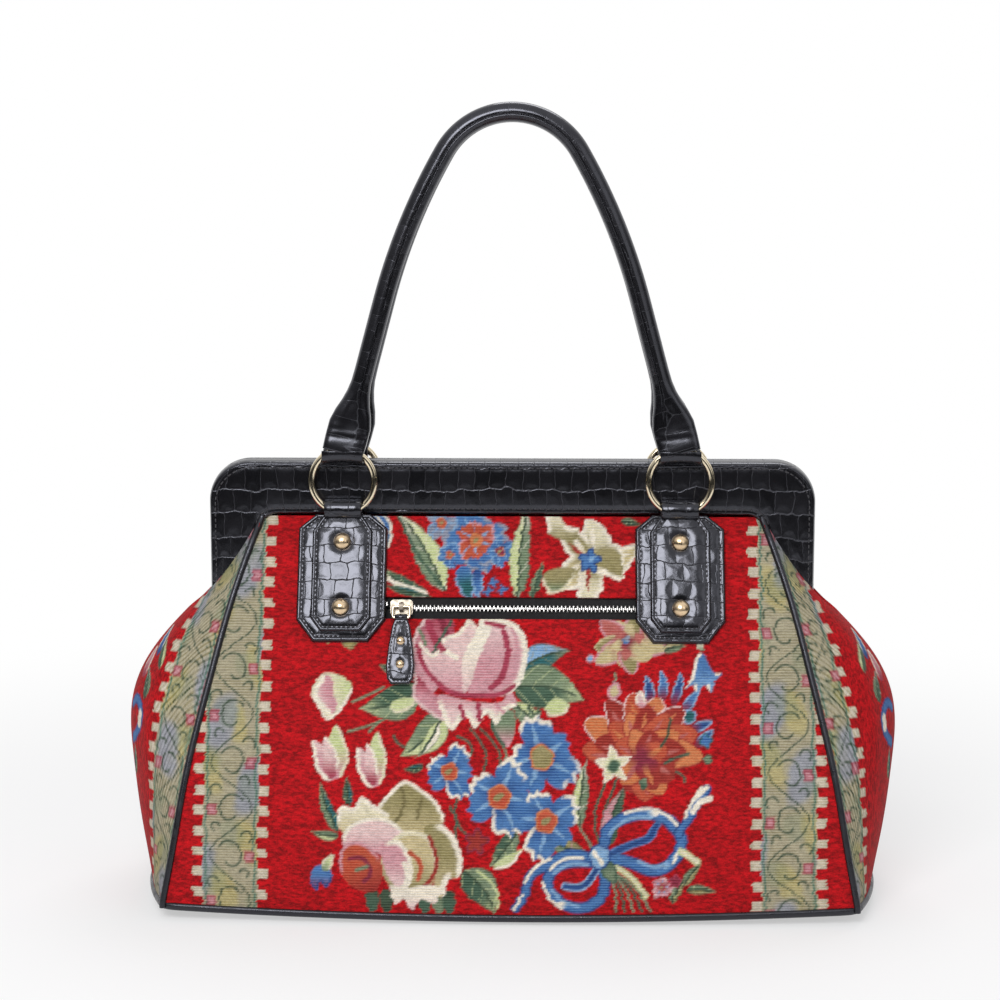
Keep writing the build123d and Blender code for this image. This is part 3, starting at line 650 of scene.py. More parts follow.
    def daisy(self, x, z, r, turn=0.0, count=5, core=ORANGE, body=BLUE, base=NAVY, rim=IVORY):
        outline_shares = [
            (0.1, -0.16), (0.5, -0.40), (0.8, -0.34), (0.84, -0.14), (1.0, -0.05),
            (0.9, 0.10), (0.98, 0.26), (0.62, 0.42), (0.1, 0.16),
        ]
        self.disc(x, z, r * 0.55, base)
        for k in range(count):
            a = math.radians(turn + 360 * k / count + (8 if k % 2 else -6))
            c, s = math.cos(a), math.sin(a)
            size = r * (1.1, 0.92, 1.0, 1.14, 0.9, 1.02, 0.95)[k % 7]
            edge = (c - 0.6, s + 0.5) if k % 2 else (c - 0.2, s)
            petal = [(x + size * (u * c - v * s), z + size * (u * s + v * c)) for u, v in outline_shares]
            own_rim = rim if k % 5 in (0, 1, 3) else None
            self.shape(petal, body, own_rim, edge, r * 0.11, base, (-c, -s))
            self.petal(x, z, math.degrees(a) + 6, size * 0.8, r * 0.15, SKY, None, base, 0.6)
        self.disc(x, z, r * 0.34, core, AMBER, r * 0.06, 0.05, 5)
        self.petal(x - 0.16 * r, z - 0.08 * r, 30, r * 0.34, r * 0.2, OLIVE, None, None, 0.3)

    def lily(self, x, z, r, turn=0.0):
        for k in range(6):
            a = turn + 60 * k + (9 if k % 2 else -7)
            size = r * (1.06, 0.84, 0.98, 0.9, 1.0, 0.8)[k]
            wide = r * (0.60, 0.70, 0.52, 0.66, 0.58, 0.72)[k]
            body, bend = (SAND, CREAM, OLIVE)[k % 3], 0.12 * (k - 2.5)
            self.petal(x, z, a, size, wide, body, IVORY, OLIVE, 0.3, r * 0.09, bend)
            self.petal(x, z, a - 7, size * 0.82, r * 0.13, IVORY, None, SAND, 0.6)
            self.petal(x, z, a + 6, size * 0.62, r * 0.10, (RUST, OLIVE)[k % 2], None, None, 0.8)
        self.disc(x, z, r * 0.22, BLUE, NAVY, r * 0.06, 0.25, 5)
        self.petal(x, z, 40, r * 0.16, r * 0.1, SKY, None, None, 0.3)

    # borders

    def border(self, centre, half, side_merlons, low, high, phase=0.0, reach_out=5.7):
        """A beige strip with a scrolling vine, green edge lines and a row of merlons along its sides."""
        i = np.where((np.abs(self.x - centre) < half + 8) & (self.z > low) & (self.z < high))[0]
        s, z = self.x[i] - centre, self.z[i]
        for side in side_merlons:
            d = side * s - half
            tooth = np.abs(((z + phase) % 11.3) - 5.65) < 2.6
            self.lay(i, ((d > -0.6) & (d < reach_out) & tooth).astype(float), BONE)
            self.lay(i, ((d > reach_out - 1.4) & (d < reach_out) & tooth).astype(float) * 0.4, BEIGE)
        base = np.tile(BEIGE, (len(i), 1))
        for colour, share, a, b, c, d, e in (
            (STRAW, 0.75, 8.0, 5.0, 14.0, -7.0, 0.0),
            (LILAC, 0.75, 10.0, -6.0, 17.0, 8.0, 2.1),
            (SAGE, 0.3, 5.0, 9.0, 12.0, -5.0, 4.0),
        ):
            cloud = np.sin(z / a + s / b + phase + e) + np.sin(z / c + s / d + e)
            base = toward(base, colour, smooth(cloud, 0.35, 1.3) * share)
        self.lay(i, (np.abs(s) < half).astype(float), base)
        for side in (-1, 1):
            sway = 0.35 * np.sin(z / 3.1 + side)
            self.lay(i, np.clip(1.2 - np.abs(side * s - half + 1.7 + sway) / 0.8, 0, 1), VINE)
        wave, reach = 51.0, half * 0.74
        sway = reach * np.sin(2 * math.pi * (z + phase) / wave)
        slope = 2 * math.pi * reach / wave * np.cos(2 * math.pi * (z + phase) / wave)
        self.lay(i, np.clip(1.1 - np.abs(s - sway) / np.sqrt(1 + slope**2) / 0.62, 0, 1), LINE)
        first = math.floor((low + phase) / (wave / 2) - 0.5)
        for k in range(first, first + int((high - low) / (wave / 2)) + 3):
            zc = (k + 0.5) * wave / 2 - phase
            side = 1 if k % 2 == 0 else -1
            cx, r = centre - side * half * 0.02, half * 0.52
            turn = np.linspace(0.6, 1.75 * math.pi, 16)
            grow = 1 - 0.5 * np.linspace(0, 1, 16)
            curl = np.c_[cx + side * r * grow * np.cos(turn), zc - 1.0 + r * grow * np.sin(turn) * 1.15]
            self.stroke(curl, 1.0, LINE)
            for hx, hz, size in ((-0.60, 9.5, 3.4), (-0.5, -10.5, 2.6)):
                hook = np.linspace(0.3, 1.25 * math.pi, 8)
                hook_x = centre + side * half * hx + size * np.cos(hook) * side
                self.stroke(np.c_[hook_x, zc + hz + size * np.sin(hook)], 1.0, LINE)
            fx, fz = centre - side * half * 0.70, zc - 1.0
            j = self.near(fx, fz, 5)
            d = np.maximum(np.abs(self.x[j] - fx), np.abs(self.z[j] - fz) * 0.85)
            self.lay(j, np.clip((2.7 - d) / 0.6 + 0.5, 0, 0.8), ROSE)
            self.lay(j, np.clip((1.5 - d) / 0.6 + 0.5, 0, 0.7), PINK)

    def tint(self):
        return np.c_[self.rgb, self.ground]


# cloth panels

STEP = WINDOW_X / 93
INNER = np.arange(-128, 129) * STEP
OUTER = 70


def panel_grid(fine):
    """Columns keep their places in the middle and spread to the seams; rows meet the zip window."""
    outer = OUTER if fine else 56
    inner = INNER if fine else np.linspace(INNER[0], INNER[-1], 180)
    counts = (176, 13, 48) if fine else (150, 9, 42)
    half = 6.5 * math.cos(math.atan((chord_depth(0, ZIP_Z - 25) - chord_depth(0, ZIP_Z + 25)) / 50))
    z = np.r_[
        np.linspace(BASE_Z, ZIP_Z - half, counts[0], endpoint=False),
        np.linspace(ZIP_Z - half, ZIP_Z + half, counts[1], endpoint=False),
        np.linspace(ZIP_Z + half, 222.6, counts[2] + 1),
    ]
    reach = seam_x(np.minimum(z, MOUTH_Z)) - 0.9
    t = np.arange(1, outer + 1) / outer
    edge = inner[-1] + t[None, :] * (reach - inner[-1])[:, None]
    x = np.c_[-edge[:, ::-1], np.tile(inner, (len(z), 1)), edge]
    zz = np.tile(z[:, None], (1, x.shape[1]))
    return x, zz, half


def bouquet(w):
    """Garden flowers tied with a ribbon, in the colours and sizes of old carpet cloth."""
    # stems and tendrils
    for x0, z0, x1, z1, bow, c in (
        (-22, 108, -14, 86, 3, LEAF), (-16, 108, -6, 84, 4, LEAF), (-30, 104, -24, 92, 5, LEAF),
        (-4, 100, -3, 84, 1, SAGE), (12, 106, 16, 100, 2, LEAF), (40, 58, 50, 42, -2, SAGE),
        (56, 84, 52, 42, -5, LEAF), (62, 84, 55, 44, -4, LEAF), (-90, 122, -72, 130, 3, SAGE),
        (-92, 106, -70, 114, 5, SAGE), (-80, 106, -74, 112, 1, SAGE), (-66, 104, -60, 98, -2, LEAF),
        (-30, 70, -24, 52, -4, LEAF), (-34, 66, -30, 50, 2, LEAF), (92, 86, 100, 80, 2, LEAF),
        (60, 138, 58, 128, 1, SAGE), (92, 152, 104, 156, 3, SAGE), (24, 50, 46, 40, 4, LEAF),
    ):
        w.stroke([(x0, z0), ((x0 + x1) / 2 + bow, (z0 + z1) / 2 + 1), (x1, z1)], 1.3, c)
    # leaves of the pink rose
    w.leaf(6, 139, 22, 30, 17, SKY, TEAL, OLIVE)
    w.leaf(2, 130, -9, 42, 26, SAGE, LEAF)
    w.shape([(20, 120), (27, 125), (34, 121), (30, 116), (22, 115)], PALE, CREAM, (0, -1))
    w.leaf(2, 122, -50, 24, 11, PALE, SAGE)
    w.leaf(10, 121, -66, 19, 6, PALE, SAGE)
    w.leaf(-50, 129, 196, 38, 21, SAGE, LEAF)
    w.shape([(-66, 116), (-56, 119), (-54, 124), (-62, 124), (-68, 121)], PALE, CREAM, (0, -1))
    w.leaf(-56, 138, 168, 20, 9, TEAL, LEAF)
    w.leaf(-36, 117, 222, 36, 19, PALE, SAGE)
    w.leaf(-40, 112, 236, 24, 8, IVORY, PALE)
    w.shape([(-9, 118), (1, 118), (4, 109), (0, 99), (-5, 100), (-10, 109)], SAGE, LEAF, (-1, 0), 2.2, PINK)
    # pink rose
    w.shape(
        [(-55, 158), (-48, 168), (-34, 168), (-33, 150), (-38, 134), (-48, 125), (-55, 133), (-57, 146)],
        PINK, BLUSH, (-1, 0.2), 2.0, ROSE, (0.5, 1),
    )
    w.shape(
        [(-54, 136), (-44, 127), (-36, 124), (-30, 116), (-37, 112), (-47, 117), (-55, 125)],
        PINK, BLUSH, (-1, -1), 1.8, ROSE, (0.3, 1),
    )
    w.shape(
        [
            (-40, 126), (-24, 123), (-6, 122), (0, 128), (4, 121), (-3, 117),
            (-7, 110), (-13, 116), (-19, 108), (-25, 115), (-32, 107), (-38, 114),
        ],
        BLUSH, IVORY, (0, -1), 3.0, PINK, (0, 1),
    )
    w.stroke([(-28, 120), (-26, 114)], 2.4, ROSE)
    w.stroke([(-18, 121), (-17, 113)], 2.8, ROSE)
    w.stroke([(-8, 121), (-4, 117)], 2.0, PINK)
    w.shape(
        [
            (-52, 155), (-44, 148), (-38, 157), (-30, 160), (-23, 167), (-16, 152), (-20, 136),
            (-26, 127), (-37, 128), (-47, 139),
        ],
        BLUSH, IVORY, (-0.4, 1), 2.2, PINK,
    )
    w.shape(
        [
            (-16, 167), (-6, 168), (6, 162), (10.5, 148), (8, 136), (0, 127), (-12, 125), (-24, 127),
            (-20, 140), (-16, 152),
        ],
        PINK, IVORY, (1, 0.15), 3.6, BLUSH, (0, 1),
    )
    w.shape(
        [(-17, 167), (-9, 168), (-15, 152), (-20, 139), (-26, 127), (-28, 135), (-26, 148), (-21, 158)],
        IVORY, None, None, 1, BLUSH,
    )
    w.stroke([(-4, 160), (-1, 148), (-4, 137), (-11, 130)], 3.4, ROSE)
    w.stroke([(1, 162), (4, 150), (1, 138)], 1.6, PINK)
    w.stroke([(-53, 152), (-49, 141), (-40, 131), (-30, 126.5), (-16, 126), (-5, 127), (2, 131)], 2.6, ROSE)
    w.stroke([(-38, 150), (-30, 146)], 2.6, IVORY)
    w.stroke([(-47, 165), (-43, 156), (-39, 151)], 4.2, ROSE)
    w.stroke([(-40, 167), (-37, 160)], 3.6, PLUM)
    w.stroke([(-52, 161), (-48, 153)], 1.8, SAGE)
    w.stroke([(-34, 166), (-40, 156), (-44, 149)], 1.5, LEAF)
    w.stroke([(-14, 165), (-4, 163)], 2.4, ROSE)
    # buds at the left
    w.shape(
        [(-107.5, 137), (-97, 136), (-90, 129.5), (-94.5, 120.5), (-104, 112), (-111, 120.5), (-114, 128)],
        CREAM, IVORY, (0.3, -1), 1.8, PALE, (1, 0.3),
    )
    w.shape(
        [(-107, 136), (-102, 134), (-101, 126), (-99, 121), (-103, 115), (-110, 121), (-112.5, 128)],
        PINK, IVORY, (-1, -0.4), 2.6, BLUSH, (-1, -0.4),
    )
    for x, z, wide in ((-101.5, 94.5, 1.0), (-78, 91, 0.85)):
        def at(*p):
            return [(x + wide * a, z + b) for a, b in p]

        w.shape(at((3, 15), (8.5, 5), (9, -6), (3, -14), (-3, -6), (-2, 5)), PALE, CREAM, (1, 0.5), 1.8, PINK)
        left = at((-11, 6), (-5, 4), (1, -3), (4, -12), (-3, -15), (-10, -6))
        w.shape(left, PINK, IVORY, (-1, -0.3), 2.2, BLUSH, (0, 1))
        w.shape(at((-4, 8), (1, 4), (4, -7), (0, -14), (-5, -8)), BLUSH, IVORY, (0.4, 1), 1.6, ROSE)
    # blue daisies
    w.leaf(-48, 88, 190, 12, 5, LEAF, TEAL)
    w.leaf(14, 106, 78, 15, 6, SAGE, TEAL)
    w.leaf(4, 54, 232, 24, 12, SAGE, LEAF)
    w.shape([(-8, 34), (2, 36), (8, 44), (2, 42), (-6, 38)], PALE, IVORY, (0, -1))
    w.leaf(40, 56, 84, 36, 10, PALE, SAGE, IVORY)
    w.leaf(56, 46, 74, 34, 12, PINK, LEAF, SAGE)
    w.leaf(44, 42, 158, 32, 9, SAGE, OLIVE, PINK)
    w.daisy(-33.5, 85, 14.5, 70, 5, ORANGE)
    w.daisy(18, 93, 21, 104, 5, OLIVE)
    w.daisy(-5.6, 71.6, 20, 66, 5, ORANGE)
    w.daisy(21, 59, 19, 30, 5, ORANGE)
    # orange peony with blue behind it
    for x, z, a, size in (
        (82, 126, 108, 12), (88, 127, 95, 13), (94, 125, 78, 14),
        (99, 121, 55, 12), (104, 112, 20, 9), (106, 103, 40, 10),
    ):
        w.petal(x, z - 4, a, size + 4, 6, BLUE if a % 2 else NAVY, SKY, PLUM, 0.5, 1.0)
    w.disc(102.5, 115, 4.0, TEAL, SKY, 1.0)
    w.disc(112, 102, 3.6, BLUE, TEAL, 1.0, 0.2, 4)
    w.disc(112, 92, 2.6, SAGE, LEAF, 0.8)
    for row, (angles, length, wide) in enumerate((
        ((172, 148, 122, 98, 74, 50, 26, 2), 37, 19), ((200, 240, 272, 300, 332), 21, 18),
        ((160, 134, 108, 84, 60, 36, 12), 28, 16), ((150, 110, 70, 30, 225, 290), 17, 14),
    )):
        for k, a in enumerate(angles):
            size = length * (0.94 + 0.12 * ((k * 3 + row) % 4) / 3) * (0.92 if a < 60 else 1.0)
            body = (ORANGE, AMBER, RUST)[(k + row) % 3]
            rim = BLUSH if row == 0 and 40 < a < 160 else RUST
            w.petal(76, 92, a, size, wide, body, rim, PLUM, 0.05, 0.9, 0.04 * (k - 3))
            w.petal(76, 92, a + 3, size * 0.86, wide * 0.24, AMBER if k % 2 else DUSK, None, PLUM, 0.5)
    w.stroke([(92, 114), (90, 105), (86, 99)], 1.5, LINE)
    w.stroke([(88, 90), (94, 93), (101, 95)], 1.5, LEAF)
    w.petal(77, 82, 250, 7, 5, LEAF, None, SAGE, 0.5)
    w.petal(76, 120, 100, 9, 6, BLUSH, IVORY, PINK, 0.2)
    for a in (24, 96, 168, 240, 312):
        w.petal(59, 89, a, 11, 6.4, CREAM, IVORY, PALE, 0.7, 1.0)
    w.disc(59.5, 88.5, 3.6, LEAF, SAGE, 1.0)
    # muted flower and a blue bell beside it
    for k in range(10):
        a = 36 * k + (9 if k % 2 else -6)
        size = (22, 17)[k % 2] * (1.15 - 0.4 * abs(math.sin(math.radians(a))))
        w.petal(67, 154, a, size, 12, (SAND, DUSK, OLIVE)[k % 3], (PINK, SAND)[k % 2], ROSE, 0.12, 1.3)
    for k in range(6):
        w.petal(68, 155, 60 * k + 20, 10, 6.5, (DUSK, SAND)[k % 2], None, PLUM, 0.2)
    w.petal(66, 154, 60, 5, 4, LILAC, None, BLUE, 0.2)
    w.leaf(88, 150, 12, 14, 6, SAND, SAGE)
    w.disc(46, 146, 2.2, SKY, PINK, 0.8)
    w.shape([(56, 128), (60, 134), (64, 128), (60, 124)], SAND, PINK)
    w.petal(110, 150, 100, 8, 4, IVORY, CREAM, SAGE, 0.3)
    w.shape(
        [
            (108, 148), (112, 148), (117, 139), (122, 138), (117, 134), (115, 128), (111, 132),
            (107, 128), (104, 132), (100, 130), (105, 139),
        ],
        BLUE, IVORY, (-1, 0.6), 1.8, SKY,
    )
    # ribbon bow
    w.stroke(
        [
            (53, 43), (56, 54), (66, 61), (80, 63), (93, 57), (98, 47), (93, 38), (82, 33), (70, 37),
            (56, 40),
        ],
        6.6, BLUE, NAVY,
    )
    w.stroke([(58, 42), (70, 47), (80, 51), (84, 57)], 4.4, NAVY, BLUE)
    w.stroke(
        [(48, 38), (36, 38), (26, 34), (22, 26), (28, 17), (40, 13), (51, 18), (55, 28), (52, 37)],
        6.4, BLUE, NAVY,
    )
    w.stroke([(50, 34), (42, 25), (32, 25)], 4.4, NAVY, SKY)
    w.stroke([(46, 40), (34, 42), (22, 36), (12, 30), (9, 22), (4, 13)], 5.4, BLUE, NAVY)
    w.stroke([(96, 52), (101, 60), (106, 68), (112, 76)], 5.2, BLUE, NAVY)
    for light, wide, lines in (
        (SKY, 1.9, (
            [(57, 52), (67, 60), (80, 61)], [(94, 40), (84, 35), (73, 38)],
            [(45, 36.4), (34, 36.4), (26, 32)], [(24, 23), (30, 17), (39, 14)],
        )),
        (IVORY, 1.7, (
            [(66, 63.4), (78, 65.6), (88, 62.6), (95, 57)], [(97, 44), (93, 37)],
            [(42, 40), (31, 39), (24, 34)], [(19.4, 27), (23, 18), (30, 13)],
            [(24, 39.6), (14, 33.6), (9, 27)], [(7, 20), (3, 12)], [(99, 61), (104, 70), (109, 77)],
        )),
    ):
        for line in lines:
            w.stroke(line, wide, light)
    w.petal(78, 63, 10, 8, 4.5, IVORY, None, SKY, 0.4)
    w.petal(33, 14.4, 170, 7, 4.0, IVORY, None, SKY, 0.4)
    w.petal(92, 39, 230, 7, 4.0, SKY, None, BLUE, 0.4)
    w.stroke([(104, 64), (108, 69), (114, 71)], 3.2, IVORY)
    w.stroke([(105, 71), (112, 77)], 2.6, IVORY)
    w.stroke([(98, 43), (103, 40), (107, 37)], 4.0, CREAM, PALE)
    for x1, c in ((60, SAGE), (65, LEAF), (70, SAGE), (75, LEAF), (80, SAGE)):
        w.stroke([(55, 34), ((55 + x1) / 2 + 2, 26), (x1, 11)], 1.4, c)
    w.stroke([(61, 35), (70, 29), (78, 19)], 3.0, CREAM, PALE)
    w.petal(54, 38, -60, 13, 9, SAGE, LEAF, LEAF, 0.4)
    w.shape([(45, 42), (50, 47), (57, 44), (56, 36), (49, 34)], SKY, NAVY, None, 1.0)
    w.stroke([(48, 43), (53, 37)], 2.4, IVORY)
    for x0, z0, a in ((98, 24, 48), (100, 22, -4), (92, 15, 60)):
        w.leaf(x0, z0, a, 17, 6, SAGE, OLIVE)
    w.daisy(87, 24, 6, 0, 5, ROSE, PINK, PLUM, BLUSH)
    w.disc(94, 27, 3.4, PLUM, ROSE, 1.0, 0.2, 5)
    # cream rose
    w.leaf(-97, 52, 112, 29, 8, SAGE, TEAL)
    w.leaf(-90, 66, 100, 16, 6, LEAF, TEAL)
    w.leaf(-97, 50, 172, 16, 6, PALE, SAGE)
    w.leaf(-26, 33, -52, 30, 20, SAGE, LEAF, PALE)
    w.stroke([(-18, 33), (-8, 24), (-6, 13)], 1.6, PALE)
    for x, c in ((-78, LEAF), (-70, LINE), (-48, LEAF), (-40, SAGE), (-34, LEAF)):
        w.petal(x, 22, -88, 13, 8, c, None, LINE, 0.2)
    w.shape(
        [(-76, 61), (-70, 72), (-60, 80), (-50, 75), (-41, 68), (-37, 58), (-46, 49), (-60, 52), (-70, 54)],
        OLIVE, IVORY, (0.3, 1), 2.2, SAND,
    )
    w.stroke([(-62, 76), (-60, 66), (-64, 58)], 1.8, linear(132, 122, 84))
    w.stroke([(-50, 70), (-52, 60)], 1.8, linear(132, 122, 84))
    w.shape(
        [(-98, 58), (-95, 66), (-88, 65), (-84, 71), (-77, 67), (-68, 61), (-73, 52), (-84, 53), (-92, 50)],
        CREAM, IVORY, (-0.4, 1), 2.4, SAND,
    )
    w.shape(
        [(-95, 50), (-86, 58), (-72, 60), (-60, 54), (-57, 44), (-68, 40), (-80, 43), (-90, 42)],
        BLUSH, IVORY, (-0.5, 1), 2.0, PINK,
    )
    w.shape(
        [
            (-47, 55), (-38, 57), (-30, 50), (-26, 40), (-28, 30), (-34, 28), (-37, 18), (-42, 24),
            (-41, 36), (-46, 44),
        ],
        OLIVE, IVORY, (1, 0.1), 3.4, SAND,
    )
    w.shape(
        [(-70, 45), (-59, 53), (-46, 51), (-40, 40), (-43, 26), (-54, 19), (-66, 23), (-72, 34)],
        SAND, CREAM, (0.3, 1), 2.6, OLIVE,
    )
    w.shape(
        [(-72, 46), (-62, 48), (-56, 40), (-54, 30), (-58, 22), (-66, 26), (-71, 36)],
        PINK, IVORY, (1, 0.6), 2.6, BLUSH,
    )
    w.stroke([(-45, 50), (-41, 40), (-44, 28), (-52, 21)], 2.2, RUST)
    w.stroke([(-56, 42), (-50, 36), (-51, 28)], 2.4, ORANGE)
    w.stroke([(-59, 36), (-57, 28), (-60, 22)], 3.0, IVORY)
    w.shape(
        [(-67, 24), (-58, 23), (-46, 25), (-38, 23), (-42, 15), (-50, 17), (-55, 11), (-60, 17), (-65, 14)],
        IVORY, None, None, 1, BLUSH,
    )
    w.shape(
        [(-94, 44), (-84, 47), (-74, 40), (-71, 30), (-76, 21), (-87, 22), (-95, 31)],
        ORANGE, PINK, (-0.5, 1), 1.8, RUST, (0.4, -1),
    )
    w.stroke([(-90, 38), (-82, 38), (-78, 30), (-82, 26)], 2.2, PLUM)
    w.stroke([(-86, 32), (-80, 34)], 2.0, SAGE)
    w.shape(
        [(-113, 26), (-110, 33), (-103, 34), (-100, 28), (-104, 22), (-107, 25), (-110, 20)],
        BLUE, NAVY, (0, -1), 1.4, PLUM,
    )
    w.petal(-105, 31, 58, 11, 6, PALE, CREAM, SAGE, 0.5)
    w.disc(-18, 48, 6.0, RUST, PLUM, 1.6, 0.25, 5)
    # below the left patch
    w.shape([(-99, 160), (-84, 160), (-93, 150)], STRAW, OLIVE)
    w.shape([(-107, 160), (-102, 160), (-105, 153)], STRAW)
    # above the zip
    w.shape(
        [(-84, 226), (-74, 224), (-70, 214), (-73, 203), (-80, 196), (-79, 208), (-84, 216)],
        BLUE, IVORY, (1, 0.2), 1.8, NAVY, (-1, 0),
    )
    w.stroke([(-80, 224), (-75, 214), (-78, 202)], 1.6, IVORY)
    w.leaf(-38, 182, 124, 52, 17, SAGE, PALE, IVORY, -0.15)
    w.stroke([(-66, 222), (-57, 206), (-46, 192), (-39, 184)], 1.6, LEAF)
    w.leaf(-46, 178, 150, 38, 9, IVORY, LEAF, PALE)
    w.leaf(-48, 180, 168, 28, 5, LEAF, TEAL)
    w.stroke([(-78, 190), (-64, 186), (-48, 181)], 1.6, IVORY)
    w.daisy(-21, 209, 18, 14, 7, ORANGE, BLUE, NAVY, LILAC)
    w.daisy(-20.5, 210, 11.5, 30, 6, AMBER, ORANGE, RUST, PINK)
    w.daisy(-41, 219, 9, 0, 5, ORANGE, LILAC, BLUE, SKY)
    w.daisy(-6, 204, 8, 30, 5, PLUM, BLUE, NAVY, SKY)
    w.daisy(-36, 202, 7, 50, 5, ORANGE, BLUE, NAVY, SKY)
    w.petal(-29, 196, -72, 20, 11, TEAL, SKY, BLUE, 0.4)
    w.petal(-20, 194, -84, 16, 7, BLUE, SKY, NAVY, 0.4)
    for x, z in ((-10, 187), (-5, 183), (-13, 182)):
        w.disc(x, z, 3.0, BLUE, PLUM, 1.0, 0.25, 4)
    w.leaf(4, 178, 84, 54, 13, PALE, SAGE, IVORY, 0.1)
    w.leaf(12, 178, 70, 22, 6, SAGE, LEAF)
    w.lily(46, 199, 27, 24)
    w.shape(
        [(21, 226), (27, 226), (31, 218), (39, 216), (36, 210), (24, 212), (20, 218)],
        CREAM, IVORY, (-1, 1), 2.4, OLIVE,
    )
    w.shape([(18, 190), (26, 195), (38, 194), (32, 184), (22, 181)], OLIVE, CREAM, (-0.3, -1), 2.0, SAGE)
    w.leaf(64, 220, -10, 12, 5, SAGE, LEAF)


def woven_panel(fine, y_sign):
    """Rows and columns of a panel, half its zip window, its weave with the border strips, and its points."""
    x, zz, half_window = panel_grid(fine)
    weave = Weave(x, zz)
    for side, phase in ((-1, 0.0), (1, 5.0)):
        weave.border(side * STRIP_X, STRIP_HALF, (-1, 1), STRIP_LOW, STRIP_HIGH, phase)
    sagged = zz + sag(x) * (1 - smooth(zz, BASE_Z, 70))
    return x, zz, half_window, weave, np.stack([x, y_sign * panel_depth(x, zz), sagged], -1)


x, zz, half_window, weave, P = woven_panel(True, -1)
bouquet(weave)
quads = grid_quads(*x.shape)
mid = (x.ravel()[quads].mean(1), zz.ravel()[quads].mean(1))
hole = (np.abs(mid[0]) < WINDOW_X) & (np.abs(mid[1] - ZIP_Z) < half_window)
# the window's cut edge is turned in, and its yarn is painted a darker red as painted shade
rows = np.where(np.abs(zz[:, 0] - ZIP_Z) < half_window + 0.01)[0]
cols = np.where(np.abs(x[0]) < WINDOW_X + 0.01)[0]
r0, r1, c0, c1 = rows[0], rows[-1], cols[0], cols[-1]
index = np.arange(x.size).reshape(x.shape)
rim = np.r_[index[r0, c0:c1], index[r0:r1, c1], index[r1, c1:c0:-1], index[r1:r0:-1, c0]]
inward = P.reshape(-1, 3)[rim] + np.array((0, 2.1, -0.9))
points = np.r_[P.reshape(-1, 3), inward]
n = len(rim)
k = np.arange(n)
rim_quads = np.stack([rim, rim[(k + 1) % n], x.size + (k + 1) % n, x.size + k], -1)
# the turned-in edge is all ground, in the darker red of painted shade
tint = np.r_[weave.tint(), np.tile((*SHADED_EDGE_RED, 1.0), (n, 1))]
front_cloth = piece("front_cloth", points, np.r_[quads[~hole], rim_quads], CLOTH, tint=tint)
x, zz, _, weave, P = woven_panel(False, 1)
rear_cloth = piece("rear_cloth", P, grid_quads(*x.shape)[:, ::-1], CLOTH, tint=weave.tint())


def gusset_piece(end, side, face, y_sign):
    """Half a gusset, from its piped seam to the middle line or to the frame leg."""
    z = np.linspace(BASE_Z, 219.0, 176)
    X, Y, B = seam_x(z), seam_y(z), np.maximum(bulge(z), 3.6)
    R = (Y**2 + B**2) / (2 * B)
    cx = X + B - R
    a0 = np.arctan2(Y, X - cx)
    stop = 11.5 * smooth(z, 163.0, LEG_FOOT)
    a1 = np.arcsin(np.clip(stop / R, 0, np.sin(np.minimum(a0, math.pi / 2)) * 0.98))
    t = np.linspace(0.006, 1, 88)
    a = a0[:, None] + t[None, :] * (a1 - a0)[:, None]
    run = R[:, None] * (a0[:, None] - a)
    zz = np.tile(z[:, None], (1, len(t)))
    crease = 1.3 * np.exp(-((run - 34) / 7.0) ** 2) * smooth(zz, 60, 110) * (1 - smooth(zz, 150, 172))
    crease -= 1.1 * np.exp(-((run - 20) / 6.0) ** 2) * smooth(zz, 96, 128) * (1 - smooth(zz, 158, 176))
    r = R[:, None] + crease
    px = (cx[:, None] + r * np.cos(a)) * side
    py = y_sign * r * np.sin(a)
    pz = zz + 1.2 * (1 - smooth(zz, BASE_Z, 60))
    # where the frame leg parts the gusset, its edge turns in beside the leg and closes under it
    u = np.linspace(0.1, 1, 10)[None, :]
    reach = (0.4 + 19.6 * smooth(z, 160.5, 166.5) * (1 - smooth(z, 182, 196)))[:, None]
    close = (1 - smooth(z, 169.8, 171.2))[:, None] * smooth(u, 0.3, 1.0)
    run = np.c_[run, run[:, -1:] + reach * u]
    px = np.c_[px, px[:, -1:] - side * reach * u]
    py = np.c_[py, py[:, -1:] * (1 - close)]
    pz = np.c_[pz, pz[:, -1:] - 1.5 * close]
    zz = np.tile(z[:, None], (1, run.shape[1]))
    weave = Weave(run, zz)
    middle, half = (14.6, 12.2) if side < 0 else (10.2, 8.0)
    weave.border(middle, half, (1,), STRIP_LOW, STRIP_HIGH, 3.0 if face == "front" else 8.0, 4.8)
    if face == "front":
        weave.stroke([(58, 92), (48, 100), (46, 110), (54, 116), (62, 112)], 6.0, BLUE, NAVY)
        weave.stroke([(47, 103), (47, 109)], 4.6, IVORY)
        weave.leaf(44, 118, 70, 18, 9, SAGE, LEAF, IVORY)
        weave.leaf(36, 136, 60, 20, 8, PALE, LEAF, IVORY)
        weave.petal(46, 142, 80, 16, 8, BLUE, IVORY, NAVY, 0.4)
        weave.petal(56, 128, 100, 18, 9, PINK, IVORY, ROSE, 0.3)
        weave.leaf(58, 70, 100, 20, 9, SAGE, TEAL, IVORY)
    quads = grid_quads(*px.shape)
    if side * y_sign < 0:
        quads = quads[:, ::-1]
    obj = piece(f"{end}_gusset_{face}", np.stack([px, py, pz], -1), quads, CLOTH_TURNED, tint=weave.tint())
    dress(obj, f"{end}_gusset")
    follow(obj)


for obj, node, face in ((front_cloth, "front_panel", "front"), (rear_cloth, "rear_panel", "rear")):
    dress(obj, node)
    follow(obj)
for end, side in ENDS:
    for face, y_sign in FACES:
        gusset_piece(end, side, face, y_sign)

# leather: piping, base, frame, patches, tabs


